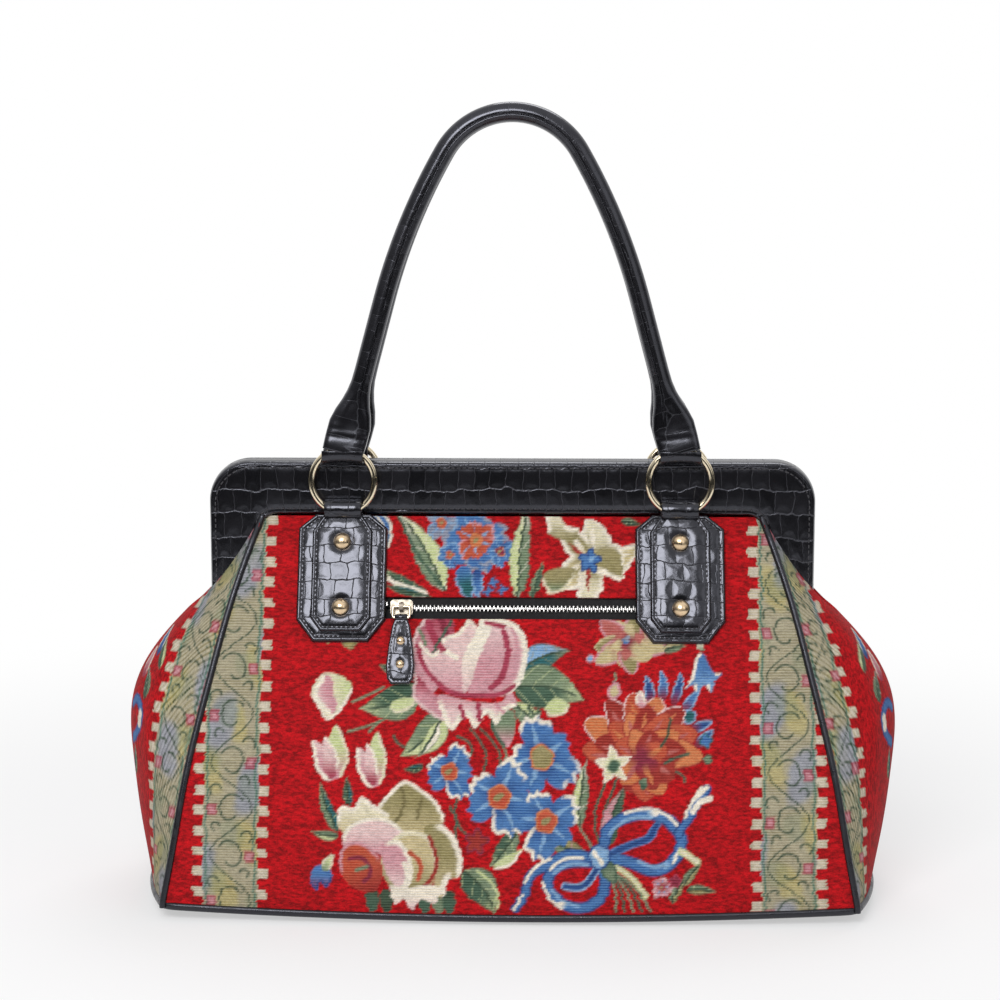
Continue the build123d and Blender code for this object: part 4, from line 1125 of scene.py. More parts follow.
def tube(path, radius, sides=12, uv_scale=10.0):
    """Points, quads and UVs of a round tube along a path of points."""
    p = np.asarray(path, float)
    d = np.gradient(p, axis=0)
    d /= np.linalg.norm(d, axis=1)[:, None]
    ref = np.array((0, 1.0, 0)) if abs(d[0, 1]) < 0.9 else np.array((1.0, 0, 0))
    n = np.cross(d, ref)
    n /= np.linalg.norm(n, axis=1)[:, None]
    b = np.cross(d, n)
    a = np.linspace(0, 2 * math.pi, sides, endpoint=False)
    r = np.broadcast_to(np.asarray(radius, float), (len(p),))[:, None, None]
    ring = p[:, None] + r * (np.cos(a)[None, :, None] * n[:, None] + np.sin(a)[None, :, None] * b[:, None])
    girth = a * float(np.mean(radius)) / uv_scale
    uv = np.stack(np.broadcast_arrays(run_of(p)[:, None] / uv_scale, girth[None, :]), -1)
    return ring, grid_quads(len(p), sides, True), uv


for end, side in ENDS:
    for face, y_sign in FACES:
        z = np.linspace(6.2, 223.5, 120)
        zc = np.clip(z, BASE_Z, MOUTH_Z)
        seam_in = 0.3 - 4.6 * smooth(z, 208, 223)
        lift = 1.2 * (1 - smooth(z, BASE_Z, 60))
        path = np.c_[side * (seam_x(zc) + 0.4), y_sign * (seam_y(zc) + seam_in), z + lift]
        ring, quads, uv = tube(path, 1.95 + 0.08 * np.sin(z * 1.9), 14)
        obj = piece(f"{face}_{end}_cord_piping", ring, quads, LEATHER, uv)
        dress(obj, f"{face}_{end}_piping")
        follow(obj)


def base_outline(count=480):
    """The bag's outline at its base: four arcs with their corners rounded, as evenly spaced points."""
    X, Y, B, C = LEVELS[0, 1:]

    def arc(p0, p1, p2, n):
        """n points on the circle through three points."""
        (x0, y0), (x1, y1), (x2, y2) = p0, p1, p2
        d = 2 * (x0 * (y1 - y2) + x1 * (y2 - y0) + x2 * (y0 - y1))
        s0, s1, s2 = x0 * x0 + y0 * y0, x1 * x1 + y1 * y1, x2 * x2 + y2 * y2
        cx = (s0 * (y1 - y2) + s1 * (y2 - y0) + s2 * (y0 - y1)) / d
        cy = (s0 * (x2 - x1) + s1 * (x0 - x2) + s2 * (x1 - x0)) / d
        r = math.hypot(x0 - cx, y0 - cy)
        a0 = math.atan2(y0 - cy, x0 - cx)
        a2 = math.atan2(y2 - cy, x2 - cx)
        turn = (a2 - a0 + math.pi) % (2 * math.pi) - math.pi
        a = a0 + turn * np.arange(n) / n
        return np.c_[cx + r * np.cos(a), cy + r * np.sin(a)]

    p = np.r_[
        arc((-X, -Y), (0, -Y - C), (X, -Y), 700),
        arc((X, -Y), (X + B, 0), (X, Y), 300),
        arc((X, Y), (0, Y + C), (-X, Y), 700),
        arc((-X, Y), (-X - B, 0), (-X, -Y), 300),
    ]
    # round the corners, then space the points evenly
    kernel = np.exp(-0.5 * (np.arange(-14, 15) / 5.0) ** 2)
    kernel /= kernel.sum()
    for _ in range(2):
        around = np.r_[p[-14:], p, p[:14]]
        p = np.stack([np.convolve(column, kernel, "valid") for column in around.T], -1)
    q = np.r_[p, p[:1]]
    run = run_of(q)
    s = np.linspace(0, run[-1], count, endpoint=False)
    return np.c_[np.interp(s, run, q[:, 0]), np.interp(s, run, q[:, 1])]


outline = base_outline()
d = np.roll(outline, -1, 0) - np.roll(outline, 1, 0)
normal = np.c_[d[:, 1], -d[:, 0]] / np.hypot(*d.T)[:, None]
# way out of the outline and height, from inside the body round the lip to the underside
base_profile = (
    (-5.0, 9.3), (0.4, 9.2), (1.5, 8.7), (1.75, 7.6), (1.65, 6.3),
    (1.0, 5.2), (-0.6, 4.6), (-4.0, 4.45), (-14, 4.45), (-34, 4.5),
)
rows = []
for out, z in base_profile:
    q = outline + normal * out
    rows.append(np.c_[q, z + sag(q[:, 0])])
faces = face_list(grid_quads(len(rows), len(outline), True)) + end_faces(len(rows), len(outline))[::-1]
across, up_rows = np.arange(len(outline))[None, :] / 48.0, np.arange(len(rows))[:, None] / 3.0
uv = np.stack(np.broadcast_arrays(across, up_rows), -1)
base = piece("base_leather", np.stack(rows), faces, LEATHER, uv, outwards=True)
dress(base, "base_panel", "bag_body")


def pad_height(d, thick, edge, stitch, depth=0.55):
    """Height of a padded leather edge by distance from it: rounded, pressed down along the stitches."""
    t = np.clip(d / edge, 0, 1)
    h = thick * np.sqrt(np.clip(1 - (1 - t) ** 2, 0, 1))
    return h - depth * np.exp(-(((d - stitch) / 0.9) ** 2))


def stitches(name, lines, body, length=2.3, pitch=3.3, width=0.75):
    """Thread stitches along lines of points; each line also carries the way out of the leather."""
    pts, faces = [], []
    stitch_sides = 6
    # way along a stitch, its thickness there and its lift off the leather
    swell = (
        (-0.5, 0.35, -0.15), (-0.36, 1.0, 0.22), (0.0, 1.05, 0.42), (0.36, 1.0, 0.22), (0.5, 0.35, -0.15),
    )
    for p, out in lines:
        p, out = np.asarray(p, float), np.asarray(out, float)
        run = run_of(p)
        for s in np.arange(pitch / 2, run[-1] - length / 2, pitch):
            ends = (s - length / 2, s + length / 2)
            a, b = (np.array([np.interp(v, run, column) for column in p.T]) for v in ends)
            d = (b - a) / np.linalg.norm(b - a)
            side = np.cross(d, out)
            first = len(pts)
            for way, size, lift in swell:
                c = (a + b) / 2 + d * way * length + out * lift
                for turn in np.arange(stitch_sides) * math.tau / stitch_sides:
                    pts.append(c + width / 2 * size * (math.cos(turn) * side + math.sin(turn) * out * 0.8))
            grid = (len(swell), stitch_sides)
            faces += face_list(grid_quads(*grid, True), first) + face_list(end_faces(*grid), first)
    obj = piece(name, pts, faces, THREAD)
    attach(obj, body)


def frame_edge(half, top, radius, n_leg=46, n_turn=22, n_band=150):
    """One edge of the U, from the left leg's foot round to the right one's."""
    leg = np.c_[np.full(n_leg, -half), np.linspace(LEG_FOOT, top - radius, n_leg, endpoint=False)]
    a = np.linspace(math.pi, math.pi / 2, n_turn, endpoint=False)
    turn = np.c_[-half + radius + radius * np.cos(a), top - radius + radius * np.sin(a)]
    band = np.c_[np.linspace(-half + radius, half - radius, n_band), np.full(n_band, top)]
    left = np.r_[leg, turn]
    return np.r_[left, band, left[::-1] * np.array((-1, 1))]


outer_edge, inner_edge = (frame_edge(*edge) for edge in FRAME_EDGES)


def between_edges(shares):
    """Points across the cover, at shares of the way from its outer to its inner edge."""
    shares = shares[None, :, None]
    return outer_edge[:, None] * (1 - shares) + inner_edge[:, None] * shares


# places across the cover, closest where its edges turn over
edge_shares = np.array((0, 0.012, 0.03, 0.055, 0.08, 0.105, 0.13))
across_shares = np.r_[edge_shares, np.linspace(0.17, 0.83, 15), 1 - edge_shares[::-1]]
line = between_edges(across_shares)
span_width = np.linalg.norm(outer_edge - inner_edge, axis=1)
foot_gap = line[..., 1] - LEG_FOOT
from_side = np.minimum(across_shares, 1 - across_shares)
from_edge = np.minimum(from_side[None, :] * span_width[:, None], foot_gap)
height = pad_height(from_edge, 9.6, 2.6, 4.0, 0.4) + 0.25 * smooth(from_edge, 3, 14)
face_y = -(1.4 + height)
front_face = np.stack([line[..., 0], face_y, line[..., 1]], -1)
back_shares = np.array([1.0, 0.985, 0.8, 0.5, 0.2, 0.015, 0.0])
back = between_edges(back_shares)
back_y = -np.where((back_shares == 0) | (back_shares == 1), 1.2, 0.6)
back_face = np.stack([back[..., 0], np.broadcast_to(back_y, back.shape[:2]), back[..., 1]], -1)
cover_points = np.concatenate([front_face, back_face], 1)
count_u, count_v = cover_points.shape[:2]
cover_uv = cover_points[..., (0, 2)] / np.array((9.6, 13.8)) - np.array((0, 0.28))
cover_quads = face_list(grid_quads(count_u, count_v, True)) + end_faces(count_u, count_v)
STITCH_IN = 4.0
seams = []
for shares in (across_shares, 1 - across_shares):
    seams.append(int(np.argmin(np.abs(shares * COVER_WIDTH - STITCH_IN))))
for face, y_sign in FACES:
    points = on_face(face, cover_points)
    cover = piece(f"{face}_cover_leather", points, cover_quads, CROC, cover_uv, outwards=True)
    dress(cover, f"{face}_frame_cover", f"{face}_frame")
    lines = [(on_face(face, front_face[3:-3, i]), (0, y_sign, 0)) for i in seams]
    stitches(f"{face}_cover_stitches", lines, f"{face}_frame")


def rings_of(outline, insets):
    """Copies of a polygon drawn in by each inset."""
    p = np.asarray(outline, float)
    rings = []
    for d in insets:
        q = []
        for a, b, c in zip(np.roll(p, 1, 0), p, np.roll(p, -1, 0)):
            e0, e1 = b - a, c - b
            n0 = np.array((-e0[1], e0[0])) / np.hypot(*e0)
            n1 = np.array((-e1[1], e1[0])) / np.hypot(*e1)
            k = 1 + n0 @ n1
            q.append(b + d * (n0 + n1) / k)
        rings.append(np.array(q))
    return rings


def padded_plate(seat, outline, thick, edge, stitch, puff, pitch, dents=(), uv_at=(0.0, 0.0), depth=0.45):
    """Points, faces, UVs of a padded plate on a seat, with its stitch line."""
    p = np.asarray(outline, float)
    insets = [0.0, 0.12, 0.35, 0.7, 1.1, 1.6, 2.1, 2.6, 3.1, 3.7, 4.4]
    rings = rings_of(p, insets)
    counts = [max(3, int(round(np.hypot(*(b - a)) / pitch))) for a, b in zip(p, np.roll(p, -1, 0))]

    def dense(ring):
        out = []
        for (a, b), n in zip(zip(ring, np.roll(ring, -1, 0)), counts):
            t = np.arange(n)[:, None] / n
            out.append(a * (1 - t) + b * t)
        return np.concatenate(out)

    loops = [dense(r) for r in rings]
    gaps = list(insets)
    inner = loops[-1]
    low, high = inner[:, 1].min(), inner[:, 1].max()
    wide = np.abs(inner[:, 0] - inner[:, 0].mean()).max()
    mid_x = (inner[:, 0].max() + inner[:, 0].min()) / 2
    core = np.c_[np.full(len(inner), mid_x), np.clip(inner[:, 1], low + wide * 0.9, high - wide * 0.9)]
    for s in np.linspace(0, 1, 15)[1:]:
        loops.append(inner * (1 - s) + core * s)
        gaps.append(insets[-1] + s * wide)
    q = np.stack(loops)
    gap = np.broadcast_to(np.array(gaps)[:, None], q.shape[:2])
    h = pad_height(gap, thick, edge, stitch, depth) + puff * smooth(gap, stitch + 0.4, stitch + 6)
    for dx, dy, r, deep in dents:
        h = h - deep * np.exp(-((np.hypot(q[..., 0] - dx, q[..., 1] - dy) / r) ** 4))
    top = seat.at(q[..., 0], q[..., 1], h)
    under = seat.at(q[0, :, 0], q[0, :, 1], np.full(q.shape[1], 0.0))[None]
    points = np.concatenate([under, top])
    quads = face_list(grid_quads(len(points), q.shape[1], True)) + end_faces(len(points), q.shape[1])[:1]
    uv = np.concatenate([q[:1] * 1.02, q]) / SCALE_SIZE + np.array(uv_at)
    k = int(np.argmin(np.abs(np.array(insets) - stitch)))
    seam = np.r_[top[k], top[k][:1]]
    return points, quads, uv, seam


def octagon(width, height, top_x, top_y, low_x, low_y, drop=0.0):
    """A rectangle with its corners cut, from the lower left one round."""
    h, t = width / 2, height / 2
    low = [(-h, low_y - t), (low_x - h, -t), (h - low_x, -t), (h, low_y - t)]
    top = [(h, t - top_y), (h - top_x, t), (top_x - h, t), (-h, t - top_y)]
    return np.array(low + top) - np.array((0, drop))


def loop_band(centre, top=None, inner=4.5, outer=6.0, width=21.5, sides=40):
    """A strap end wrapped round the ring's wire, all round it or from below up to the sine top."""
    w, m = width / 2, (outer - inner) / 2
    section = np.array([
        (-w, 0.55), (-w + 0.35, 0.98), (-w * 0.5, 1.0), (0, 1.0), (w * 0.5, 1.0), (w - 0.35, 0.98),
        (w, 0.55), (w, -0.55), (w - 0.35, -0.98), (0, -1.0), (-w + 0.35, -0.98), (-w, -0.55),
    ])
    a = np.linspace(0, 2 * math.pi, sides, endpoint=False)
    if top is not None:
        a = np.linspace(-math.pi - math.asin(top), math.asin(top), sides)
    a, along, radius = a[:, None], section[None, :, 0], inner + m + m * section[None, :, 1]
    pts = np.stack(np.broadcast_arrays(along, np.cos(a) * radius, np.sin(a) * radius), -1)
    quads = wrap_quads(sides, len(section))
    if top is not None:
        drop = RING_RADIUS - np.sqrt(RING_RADIUS**2 - pts[..., 0] ** 2)
        pts[..., 2] -= 0.25 * drop * smooth(-pts[..., 2], -1.0, 3.0)
        faces = face_list(quads[:-1].reshape(-1, 4))
        faces += face_list(np.arange(len(section))[None] + np.array([[0], [(sides - 1) * len(section)]]))
    else:
        faces = face_list(quads.reshape(-1, 4))
    uv = np.stack(np.broadcast_arrays(along / SCALE_SIZE, a * outer / SCALE_SIZE), -1)
    return pts + np.asarray(centre), faces, uv


def joined(*parts):
    """Points, faces and UVs of several parts as one."""
    points, faces, uvs = np.zeros((0, 3)), [], np.zeros((0, 2))
    for p, f, uv in parts:
        faces += face_list(f, len(points))
        points, uvs = np.r_[points, p.reshape(-1, 3)], np.r_[uvs, uv.reshape(-1, 2)]
    return points, faces, uvs


for end, side in ENDS:
    seat = Seat(side * RING_X, PATCH_Z, 0.5)
    shape = octagon(52.0, 71.0, 11.0, 9.0, 10.0, 13.0)
    shape[4:] = [(26.0, 32.0), (15.8, 40.6), (-15.8, 40.6), (-26.0, 32.0)]
    points, quads, uv, seam = padded_plate(seat, shape, 3.0, 1.5, 3.1, 0.2, 1.2, uv_at=(side * 3.3, 1.0))
    tab_seat = Seat(side * RING_X, PATCH_Z, 3.7)
    neck = tab_seat.local_y((side * RING_X, -RING_Y, LOOP_Z)) - 1.0
    curve = [(17.5, 29.5), (13.6, 35.6), (11.6, 38.4), (10.75, neck)]
    tab_foot = octagon(35.0, 58.0, 6.75, 7.0, 6.0, 8.0, 1.0)[:4]
    tab_shape = np.array([*tab_foot, *curve, *[(-x, y) for x, y in curve[::-1]]])
    dents = [(0.0, 3.7 + s * 19.5, 6.2, 1.1) for s in (-1, 1)]
    *tab, tab_seam = padded_plate(tab_seat, tab_shape, 2.5, 1.4, 2.6, 0.5, 1.1, dents, (side * 5.1, 4.0))
    tab_points, tab_faces, tab_uv = joined(tab, loop_band((side * RING_X, -RING_Y, LOOP_Z)))
    for face, _ in FACES:
        name, body = f"{face}_{end}", f"{face}_frame"
        obj = piece(f"{name}_patch_leather", on_face(face, points), quads, CROC_TAB, uv, outwards=True)
        dress(obj, f"{name}_patch", body)
        turned = on_face(face, tab_points)
        obj = piece(f"{name}_tab_leather", turned, tab_faces, CROC_TAB, tab_uv, outwards=True)
        dress(obj, f"{name}_tab", body)
        lines = [(on_face(face, line), on_face(face, seat.out)) for line in (seam, tab_seam)]
        stitches(f"{name}_patch_stitches", lines, body, 1.9, 2.7, 0.6)

# rings and handles

for end, side in ENDS:
    for face, y_sign in FACES:
        a = np.linspace(0, 2 * math.pi, 128, endpoint=False)[:, None]
        b = np.linspace(0, 2 * math.pi, 28, endpoint=False)[None, :]
        r = RING_RADIUS + WIRE_RADIUS * np.cos(b)
        wire_y = y_sign * RING_Y + WIRE_RADIUS * np.sin(b)
        wire = np.broadcast_arrays(side * RING_X + r * np.cos(a), wire_y, RING_Z + r * np.sin(a))
        quads = wrap_quads(128, 28)[..., (0, 3, 2, 1)].reshape(-1, 4)
        name = f"{face}_{end}"
        obj = piece(f"{name}_o_ring", np.stack(wire, -1), quads, GOLD, outwards=True)
        dress(obj, f"{name}_ring", f"{name}_ring")

# each handle: two straight legs that lean in, wide shoulders and a tighter turn into the grip
LEAN, SHOULDER = math.radians(15), math.radians(30)
LEG_RUN, GRIP_TURN, GRIP_Y = 91, 45, 6.1
shoulder_r = RING_X - LEG_RUN * math.sin(LEAN) - GRIP_TURN * math.cos(SHOULDER)
shoulder_r /= math.cos(LEAN) - math.cos(SHOULDER)
rise = LEG_RUN * math.cos(LEAN) + shoulder_r * (math.sin(SHOULDER) - math.sin(LEAN))
rise += GRIP_TURN * (1 - math.sin(SHOULDER))
tilt = math.asin((RING_Y - GRIP_Y) / rise)
up = np.array((0, math.sin(tilt), math.cos(tilt)))
facing = np.array((0, -math.cos(tilt), math.sin(tilt)))
foot = np.array((0, -RING_Y, HANDLE_Z))


def handle_route(step=1.2):
    """Half of the handle's middle line in its own plane: places and directions."""
    s = np.arange(0, LEG_RUN, step)
    places = [np.c_[-RING_X + s * math.sin(LEAN), s * math.cos(LEAN)]]
    angles = [np.full(len(s), LEAN)]
    x, y = -RING_X + LEG_RUN * math.sin(LEAN), LEG_RUN * math.cos(LEAN)
    for radius, start, turn in (
        (shoulder_r, LEAN, np.arange(LEAN, SHOULDER, step / shoulder_r)),
        (GRIP_TURN, SHOULDER, np.linspace(SHOULDER, math.pi / 2, 40)),
    ):
        across, rising = math.cos(start) - np.cos(turn), np.sin(turn) - math.sin(start)
        places.append(np.c_[x + radius * across, y + radius * rising])
        angles.append(turn)
        x += radius * (math.cos(start) - math.cos(SHOULDER))
        y += radius * (math.sin(SHOULDER) - math.sin(start))
    angles = np.concatenate(angles)
    return np.concatenate(places), np.c_[np.sin(angles), np.cos(angles)]


half_p, half_d = handle_route()
route = np.r_[half_p, half_p[-2::-1] * np.array((-1, 1))]
ways = np.r_[half_d, half_d[-2::-1] * np.array((1, -1))]
way_run = run_of(route)
from_end = np.minimum(way_run, way_run[-1] - way_run)
# half width, half thickness and squareness of the strap as it rolls up into the grip
table_s = np.array([0, 4, 9, 17, 24, 30, 36, 42, 50, 400.0])
half_w = np.interp(from_end, table_s, [11.9, 12.1, 12.3, 12.3, 10.6, 8.4, 6.8, 5.9, 5.7, 5.7])
half_t = np.interp(from_end, table_s, [6.0, 5.9, 5.2, 5.0, 5.5, 5.9, 5.8, 5.7, 5.7, 5.7])
power = np.interp(from_end, table_s, [5, 5, 4.2, 3.2, 2.6, 2.2, 2, 2, 2, 2])
SEAM_ANGLE = 1.85
near_seam = SEAM_ANGLE + np.array((-0.12, -0.06, -0.03, 0.01, 0.03, 0.07, 0.12, 0.18))
ang = np.sort(np.r_[np.linspace(0, 2 * math.pi, 40, endpoint=False), near_seam])
co, si = np.cos(ang)[None, :], np.sin(ang)[None, :]
sx = half_w[:, None] * np.sign(co) * np.abs(co) ** (2 / power[:, None])
sy = half_t[:, None] * np.sign(si) * np.abs(si) ** (2 / power[:, None])
# the closing seam runs along the front: a groove with one edge standing up beside it
along = smooth(from_end, 12, 40)[:, None]
groove = 0.12 * np.exp(-(((ang - SEAM_ANGLE) / 0.06) ** 2))
groove -= 0.05 * np.exp(-(((ang - SEAM_ANGLE - 0.16) / 0.09) ** 2))
seam = 1 - along * groove - 0.035 * along * np.exp(-(((ang - 1.15) / 0.22) ** 2))
sx, sy = sx * seam, sy * seam
side_way = np.stack([ways[:, 1], -ways[:, 0]], -1)
# strap ends fold back on themselves: a crease down the middle of the flare
fold = 1.5 * np.exp(-((sx / 3.2) ** 2)) * np.exp(-(((from_end - 23)[:, None] / 11) ** 2)) * (si > 0)
# and short cross wrinkles where the strap bends round the ring
bend = np.exp(-(((from_end - 10.5)[:, None] / 4.2) ** 2)) * (si > 0.3)
wrinkle = 0.16 * np.sin(1.2 * from_end[:, None] + 0.22 * sx) * bend
sy = sy - fold + wrinkle
centre = foot + route[:, :1] * np.array((1.0, 0, 0)) + route[:, 1:] * up
lateral = side_way[:, :1] * np.array((1.0, 0, 0)) + side_way[:, 1:] * up
handle_points = centre[:, None] + sx[..., None] * -lateral[:, None] + sy[..., None] * facing
girth = ang * 0.57
handle_uv = np.stack(np.broadcast_arrays(way_run[:, None] / SCALE_SIZE, girth[None, :]), -1)
handle_faces = face_list(grid_quads(len(route), len(ang), True)) + end_faces(len(route), len(ang))
bands = []
for _, side in ENDS:
    band_points, band_faces, band_uv = loop_band((side * RING_X, -RING_Y, HANDLE_Z), 0.3, width=23.6)
    bands.append((band_points, band_faces, band_uv + 3.3))
points, faces, uv = joined((handle_points, handle_faces, handle_uv), *bands)
for face, _ in FACES:
    obj = piece(f"{face}_handle_leather", on_face(face, points), faces, CROC_GRIP, uv, outwards=True)
    dress(obj, f"{face}_handle", f"{face}_handle")

# zip

zip_seat = Seat(0.0, ZIP_Z, 0.0)
ZIP_HALVES = (("upper", 1), ("lower", -1))
TAPE_LIFT = -2.75
for half, y_sign in ZIP_HALVES:
    X, Y = np.meshgrid(np.linspace(-94, 94, 95), np.linspace(0.8, 11.8, 9))
    lift = TAPE_LIFT - 0.12 * np.sin(X * 0.9) * smooth(Y, 3, 11)
    obj = piece(f"zip_{half}_tape_cloth", zip_seat.at(X, y_sign * Y, lift), grid_quads(*X.shape), TAPE)
    dress(obj, f"zip_{half}_tape", "front_frame")

# one tooth: its foot on the tape, its narrow shank and its broad tip past the middle line
TOOTH = np.array([
    (-0.42, 1.95), (-0.34, 0.5), (-0.62, 0.05), (-0.5, -0.7),
    (0.5, -0.7), (0.62, 0.05), (0.34, 0.5), (0.42, 1.95),
])
TOOTH_PITCH = 2.3
for half, y_sign in ZIP_HALVES:
    stagger = (y_sign < 0) / 2
    teeth = [(-62.5 + TOOTH_PITCH * (i + stagger), 0.0) for i in range(62)]
    # past the slider the two sides part
    teeth += [(-71.8 - TOOTH_PITCH * (i + stagger), 2.0) for i in range(2)]
    points, faces = [], []
    for middle, away in teeth:
        first = len(points) * 24
        rings = []
        for lift, grow in ((TAPE_LIFT, 1.0), (-1.0, 1.0), (-0.72, 0.72)):
            y = y_sign * (TOOTH[:, 1] * grow + away)
            rings.append(zip_seat.at(middle + TOOTH[:, 0] * grow, y, np.full(8, lift)))
        points.append(np.concatenate(rings))
        faces += face_list(grid_quads(3, 8, True), first) + [tuple(range(first + 16, first + 24))]
    points = np.concatenate(points)
    obj = piece(f"zip_{half}_chain", points, faces, SILVER, smooth_faces=False, outwards=True)
    dress(obj, f"zip_{half}_teeth", "front_frame")

pull_seat = Seat(0.0, ZIP_Z, 2.3)
PULL_TOP, PULL_LENGTH = -7.25, 38
half = np.array([(5.0, -PULL_LENGTH), (7.4, -35), (8.3, -27.4), (7.2, -17), (5.2, -4), (3.6, 0)])
shape = np.roll(np.r_[half, half[::-1] * np.array((-1, 1))], 1, 0) + np.array((PULL_X, PULL_TOP))
dents = [(PULL_X, PULL_TOP - PULL_LENGTH * share, 3.4, 0.45) for share in (0.34, 0.70)]
*tab, seam = padded_plate(pull_seat, shape, 2.0, 1.1, 1.6, 0.45, 1.0, dents, (2.2, 7.7), 0.3)
# the tab's end rolled round the bail: place along the roll and radius
roll = np.array([
    (-3.4, 1.1), (-3.5, 1.5), (-3.3, 1.9), (0, 1.95), (3.3, 1.9), (3.5, 1.5), (3.4, 1.1), (0, 0.95),
])
a = np.linspace(0, 2 * math.pi, 28, endpoint=False)[:, None]
along, r = roll.T
roll_points = pull_seat.at(*np.broadcast_arrays(PULL_X + along, -6.4 + r * np.cos(a), 1.1 + r * np.sin(a)))
roll_part = (roll_points, wrap_quads(28, 8).reshape(-1, 4), np.full((28 * 8, 2), 0.3))
points, faces, uv = joined(tab, roll_part)
obj = piece("zip_pull_leather", points, faces, CROC_TAB, uv, outwards=True)
dress(obj, "zip_pull_tab", "zip_pull")
stitches("zip_pull_stitches", [(seam, pull_seat.out)], "zip_pull", 1.5, 2.1, 0.5)

# inside: lining and pocket


def lining_half(face, y_sign):
    """Half of the lining: one panel's and half of each gusset's, drawn in beside the frame legs."""
    z = np.linspace(12.4, 219.0, 90)
    level = np.clip(z, BASE_Z, MOUTH_Z)
    X, Y, B, C = seam_x(level) - 7.2, seam_y(level) - 7.4, np.maximum(bulge(level), 1.0), crown(level)
    draw = smooth(z, 92, 150)
    X = X * (1 - draw) + 139.5 * draw
    B = B * (1 - draw) + 1.2 * draw
    Y = np.maximum(Y - 2.2 * smooth(z, 206, 219), 3.0)
    s = np.linspace(-1, 1, 91)
    n_side = 26
    rows = []
    for k in range(len(z)):
        front = np.c_[s * X[k], -(Y[k] + C[k] * (1 - s**2))]
        R = (Y[k] ** 2 + B[k] ** 2) / (2 * B[k])
        a0 = math.asin(min(1.0, Y[k] / R))
        if B[k] > Y[k]:
            a0 = math.pi - a0
        a = a0 * (1 - np.arange(1, n_side + 1) / n_side)
        sidep = np.c_[X[k] + B[k] - R + R * np.cos(a), -R * np.sin(a)]
        left = sidep[::-1] * np.array((-1, 1))
        rows.append(np.r_[left, front, sidep])
    q = np.stack(rows)
    folds = 0.8 * np.sin(q[..., 0] / 13.0 + z[:, None] / 40.0) * smooth(z, 20, 60)[:, None]
    y = y_sign * np.abs(q[..., 1] + folds * (np.abs(q[..., 0]) < X[:, None] - 3) * 0.9)
    pts = np.stack(np.broadcast_arrays(q[..., 0], y, z[:, None]), -1)
    quads = grid_quads(*q.shape[:2])
    obj = piece(f"lining_{face}", pts, quads if face == "rear" else quads[:, ::-1], LINING)
    dress(obj, "lining")
    follow(obj)


for face, y_sign in FACES:
    lining_half(face, y_sign)
S, T = np.meshgrid(np.linspace(-1, 1, 80), np.linspace(-1, 1, 34))
floor_x = S * (190.0 + 15.5 * (1 - T**2))
floor_y = T * (73.8 + 4.8 * (1 - S**2))
floor_z = 12.45 + 0.25 * np.sin(floor_x / 19) * np.sin(floor_y / 15)
obj = piece("lining_floor", np.stack([floor_x, floor_y, floor_z], -1), grid_quads(*S.shape), LINING)
dress(obj, "lining", "bag_body")

POCKET_LOW = 78.7
pocket_x = np.linspace(-92, 92, 70)


def pocket_row(depth_z, behind, z):
    """One level row of the pocket, a way behind the panel."""
    return np.c_[pocket_x, -(panel_depth(pocket_x, depth_z) - behind), np.full(len(pocket_x), z)]


rows = [pocket_row(z, 3.2, z) for z in np.linspace(POCKET_LOW, 160.2, 46)[::-1]]
rows.append(pocket_row(POCKET_LOW, 4.5, POCKET_LOW - 0.8))
rows += [pocket_row(z, 5.9, z) for z in np.linspace(POCKET_LOW, 186.5, 60)]
P = np.stack(rows)
obj = piece("zip_pocket_cloth", P, grid_quads(*P.shape[:2]), LINING)
dress(obj, "zip_pocket")
follow(obj)

# metal and other CAD pieces that stay

for node, material in {
    "base_feet": GOLD, "zip_slider": SLIDER, "zip_pull_bail": GOLD, "zip_pull_studs": STUD,
    "zip_stops": SILVER,
    "front_frame_bar": STEEL, "rear_frame_bar": STEEL, "front_magnets": STEEL, "rear_magnets": STEEL,
    "left_hinge_pin": STEEL, "right_hinge_pin": STEEL, "base_board": BOARD,
    **{f"{face}_{end}_studs": STUD for face, _ in FACES for end, _ in ENDS},
}.items():
    mesh = nodes[node].data
    mesh.materials.clear()
    mesh.materials.append(material)

# stage, light, camera


def stage_floor():
    """A pale round floor that fades into the white backdrop."""
    bpy.ops.mesh.primitive_circle_add(vertices=96, radius=0.9, fill_type="NGON", location=(0, 0, -0.0002))
    floor = bpy.context.object
    floor.name = "stage_floor"
    m = bpy.data.materials.new("pale_floor")
    m.use_nodes = True
    t = m.node_tree
    t.nodes.clear()
    path = add_node(t, "LightPath").outputs
    place = add_node(t, "TexCoord").outputs["Object"]
    away = add_node(t, "VectorMath", {"operation": "LENGTH"}, i0=place).outputs["Value"]
    ends = {"From_Min": 0.25, "From_Max": 0.82, "To_Min": 0.5, "To_Max": 1.0}
    fade = add_node(t, "MapRange", {"interpolation_type": "SMOOTHSTEP"}, Value=away, **ends).outputs[0]
    seen = shader_math(t, "MAXIMUM", path["Is Camera Ray"], path["Is Glossy Ray"])
    share = shader_math(t, "MULTIPLY", seen, fade)
    diffuse = add_node(t, "BsdfDiffuse", i0=(0.86, 0.86, 0.87, 1)).outputs[0]
    glow = add_node(t, "Emission", i1=1.0).outputs[0]
    both = add_node(t, "MixShader", i0=share, i1=diffuse, i2=glow).outputs[0]
    add_node(t, "OutputMaterial", i0=both)
    floor.data.materials.append(m)


stage_floor()

world = bpy.data.worlds.new("studio")
bpy.context.scene.world = world
world.use_nodes = True
t = world.node_tree
t.nodes.clear()
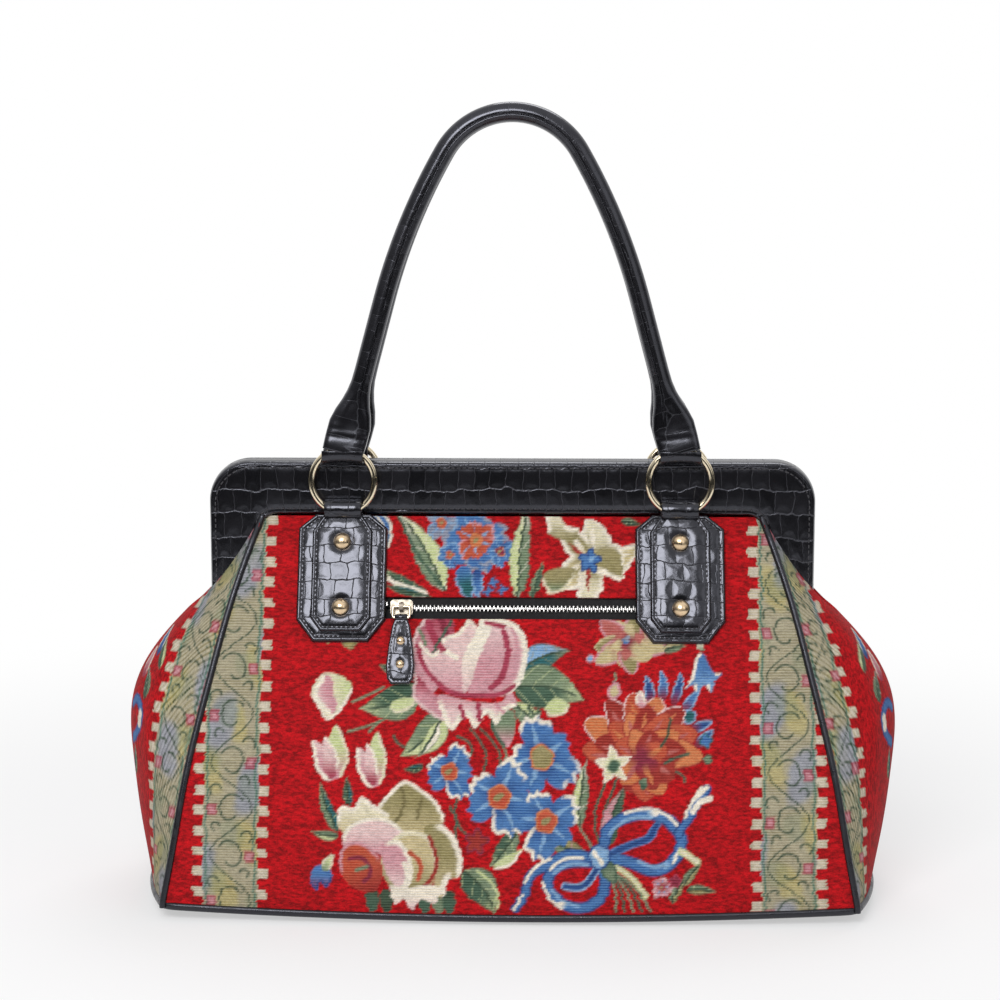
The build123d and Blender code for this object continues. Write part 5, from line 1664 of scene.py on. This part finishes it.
# a white backdrop and ceiling, and a dim room on the camera's side for the gloss to show
path = add_node(t, "LightPath").outputs
sky = add_node(t, "SeparateXYZ", i0=add_node(t, "TexCoord").outputs["Generated"]).outputs
overhead = add_node(t, "MapRange", Value=sky[2], From_Min=0.12, From_Max=0.8, To_Min=0.02, To_Max=0.9)
behind = add_node(t, "MapRange", Value=sky[1], From_Min=-0.1, From_Max=0.35, To_Min=0.0, To_Max=1.0)
gloss = shader_math(t, "MAXIMUM", overhead.outputs[0], behind.outputs[0])
gloss = shader_math(t, "MULTIPLY", gloss, path["Is Glossy Ray"])
plain = shader_math(t, "SUBTRACT", 1.0, path["Is Glossy Ray"])
light = shader_math(t, "MULTIPLY_ADD", plain, 0.46, gloss)
seen = shader_math(t, "MAXIMUM", path["Is Camera Ray"], path["Is Transmission Ray"])
light = shader_math(t, "MAXIMUM", light, seen)
backdrop = add_node(t, "Background", i0=(1.0, 1.0, 1.0, 1.0), i1=light)
add_node(t, "OutputWorld", i0=backdrop.outputs[0])


def area_light(name, place, aim, size, power):
    data = bpy.data.lights.new(name, "AREA")
    data.shape = "RECTANGLE"
    data.size, data.size_y = size
    data.energy = power
    lamp = bpy.data.objects.new(name, data)
    bpy.context.scene.collection.objects.link(lamp)
    lamp.location = place
    lamp.rotation_mode = "QUATERNION"
    lamp.rotation_quaternion = (Vector(aim) - Vector(place)).to_track_quat("-Z", "Y")


area_light("key", (-0.33, -1.42, 1.17), (0, -0.03, 0.19), (0.92, 0.66), 20)
area_light("fill", (1.3, -1.5, 0.9), (0, 0, 0.2), (0.9, 1.2), 3)
area_light("back", (0.3, 1.15, 2.1), (0, 0, 0.2), (1.4, 0.8), 15)

camera_data = bpy.data.cameras.new("camera")
camera_data.sensor_width = 36.0
camera_data.lens = 36.0 * 2.2384
camera = bpy.data.objects.new("camera", camera_data)
bpy.context.scene.collection.objects.link(camera)
az, el, distance = math.radians(1.42), math.radians(8.16), 1.3
target = Vector((-0.0065, -0.020, 0.2339))
back_way = Vector((math.sin(az) * math.cos(el), -math.cos(az) * math.cos(el), math.sin(el)))
camera.location = target + back_way * distance
camera.rotation_mode = "QUATERNION"
camera.rotation_quaternion = (-back_way).to_track_quat("-Z", "Y")
camera_data.clip_start, camera_data.clip_end = 0.05, 60
bpy.context.scene.camera = camera
bpy.context.scene.view_settings.view_transform = "Standard"
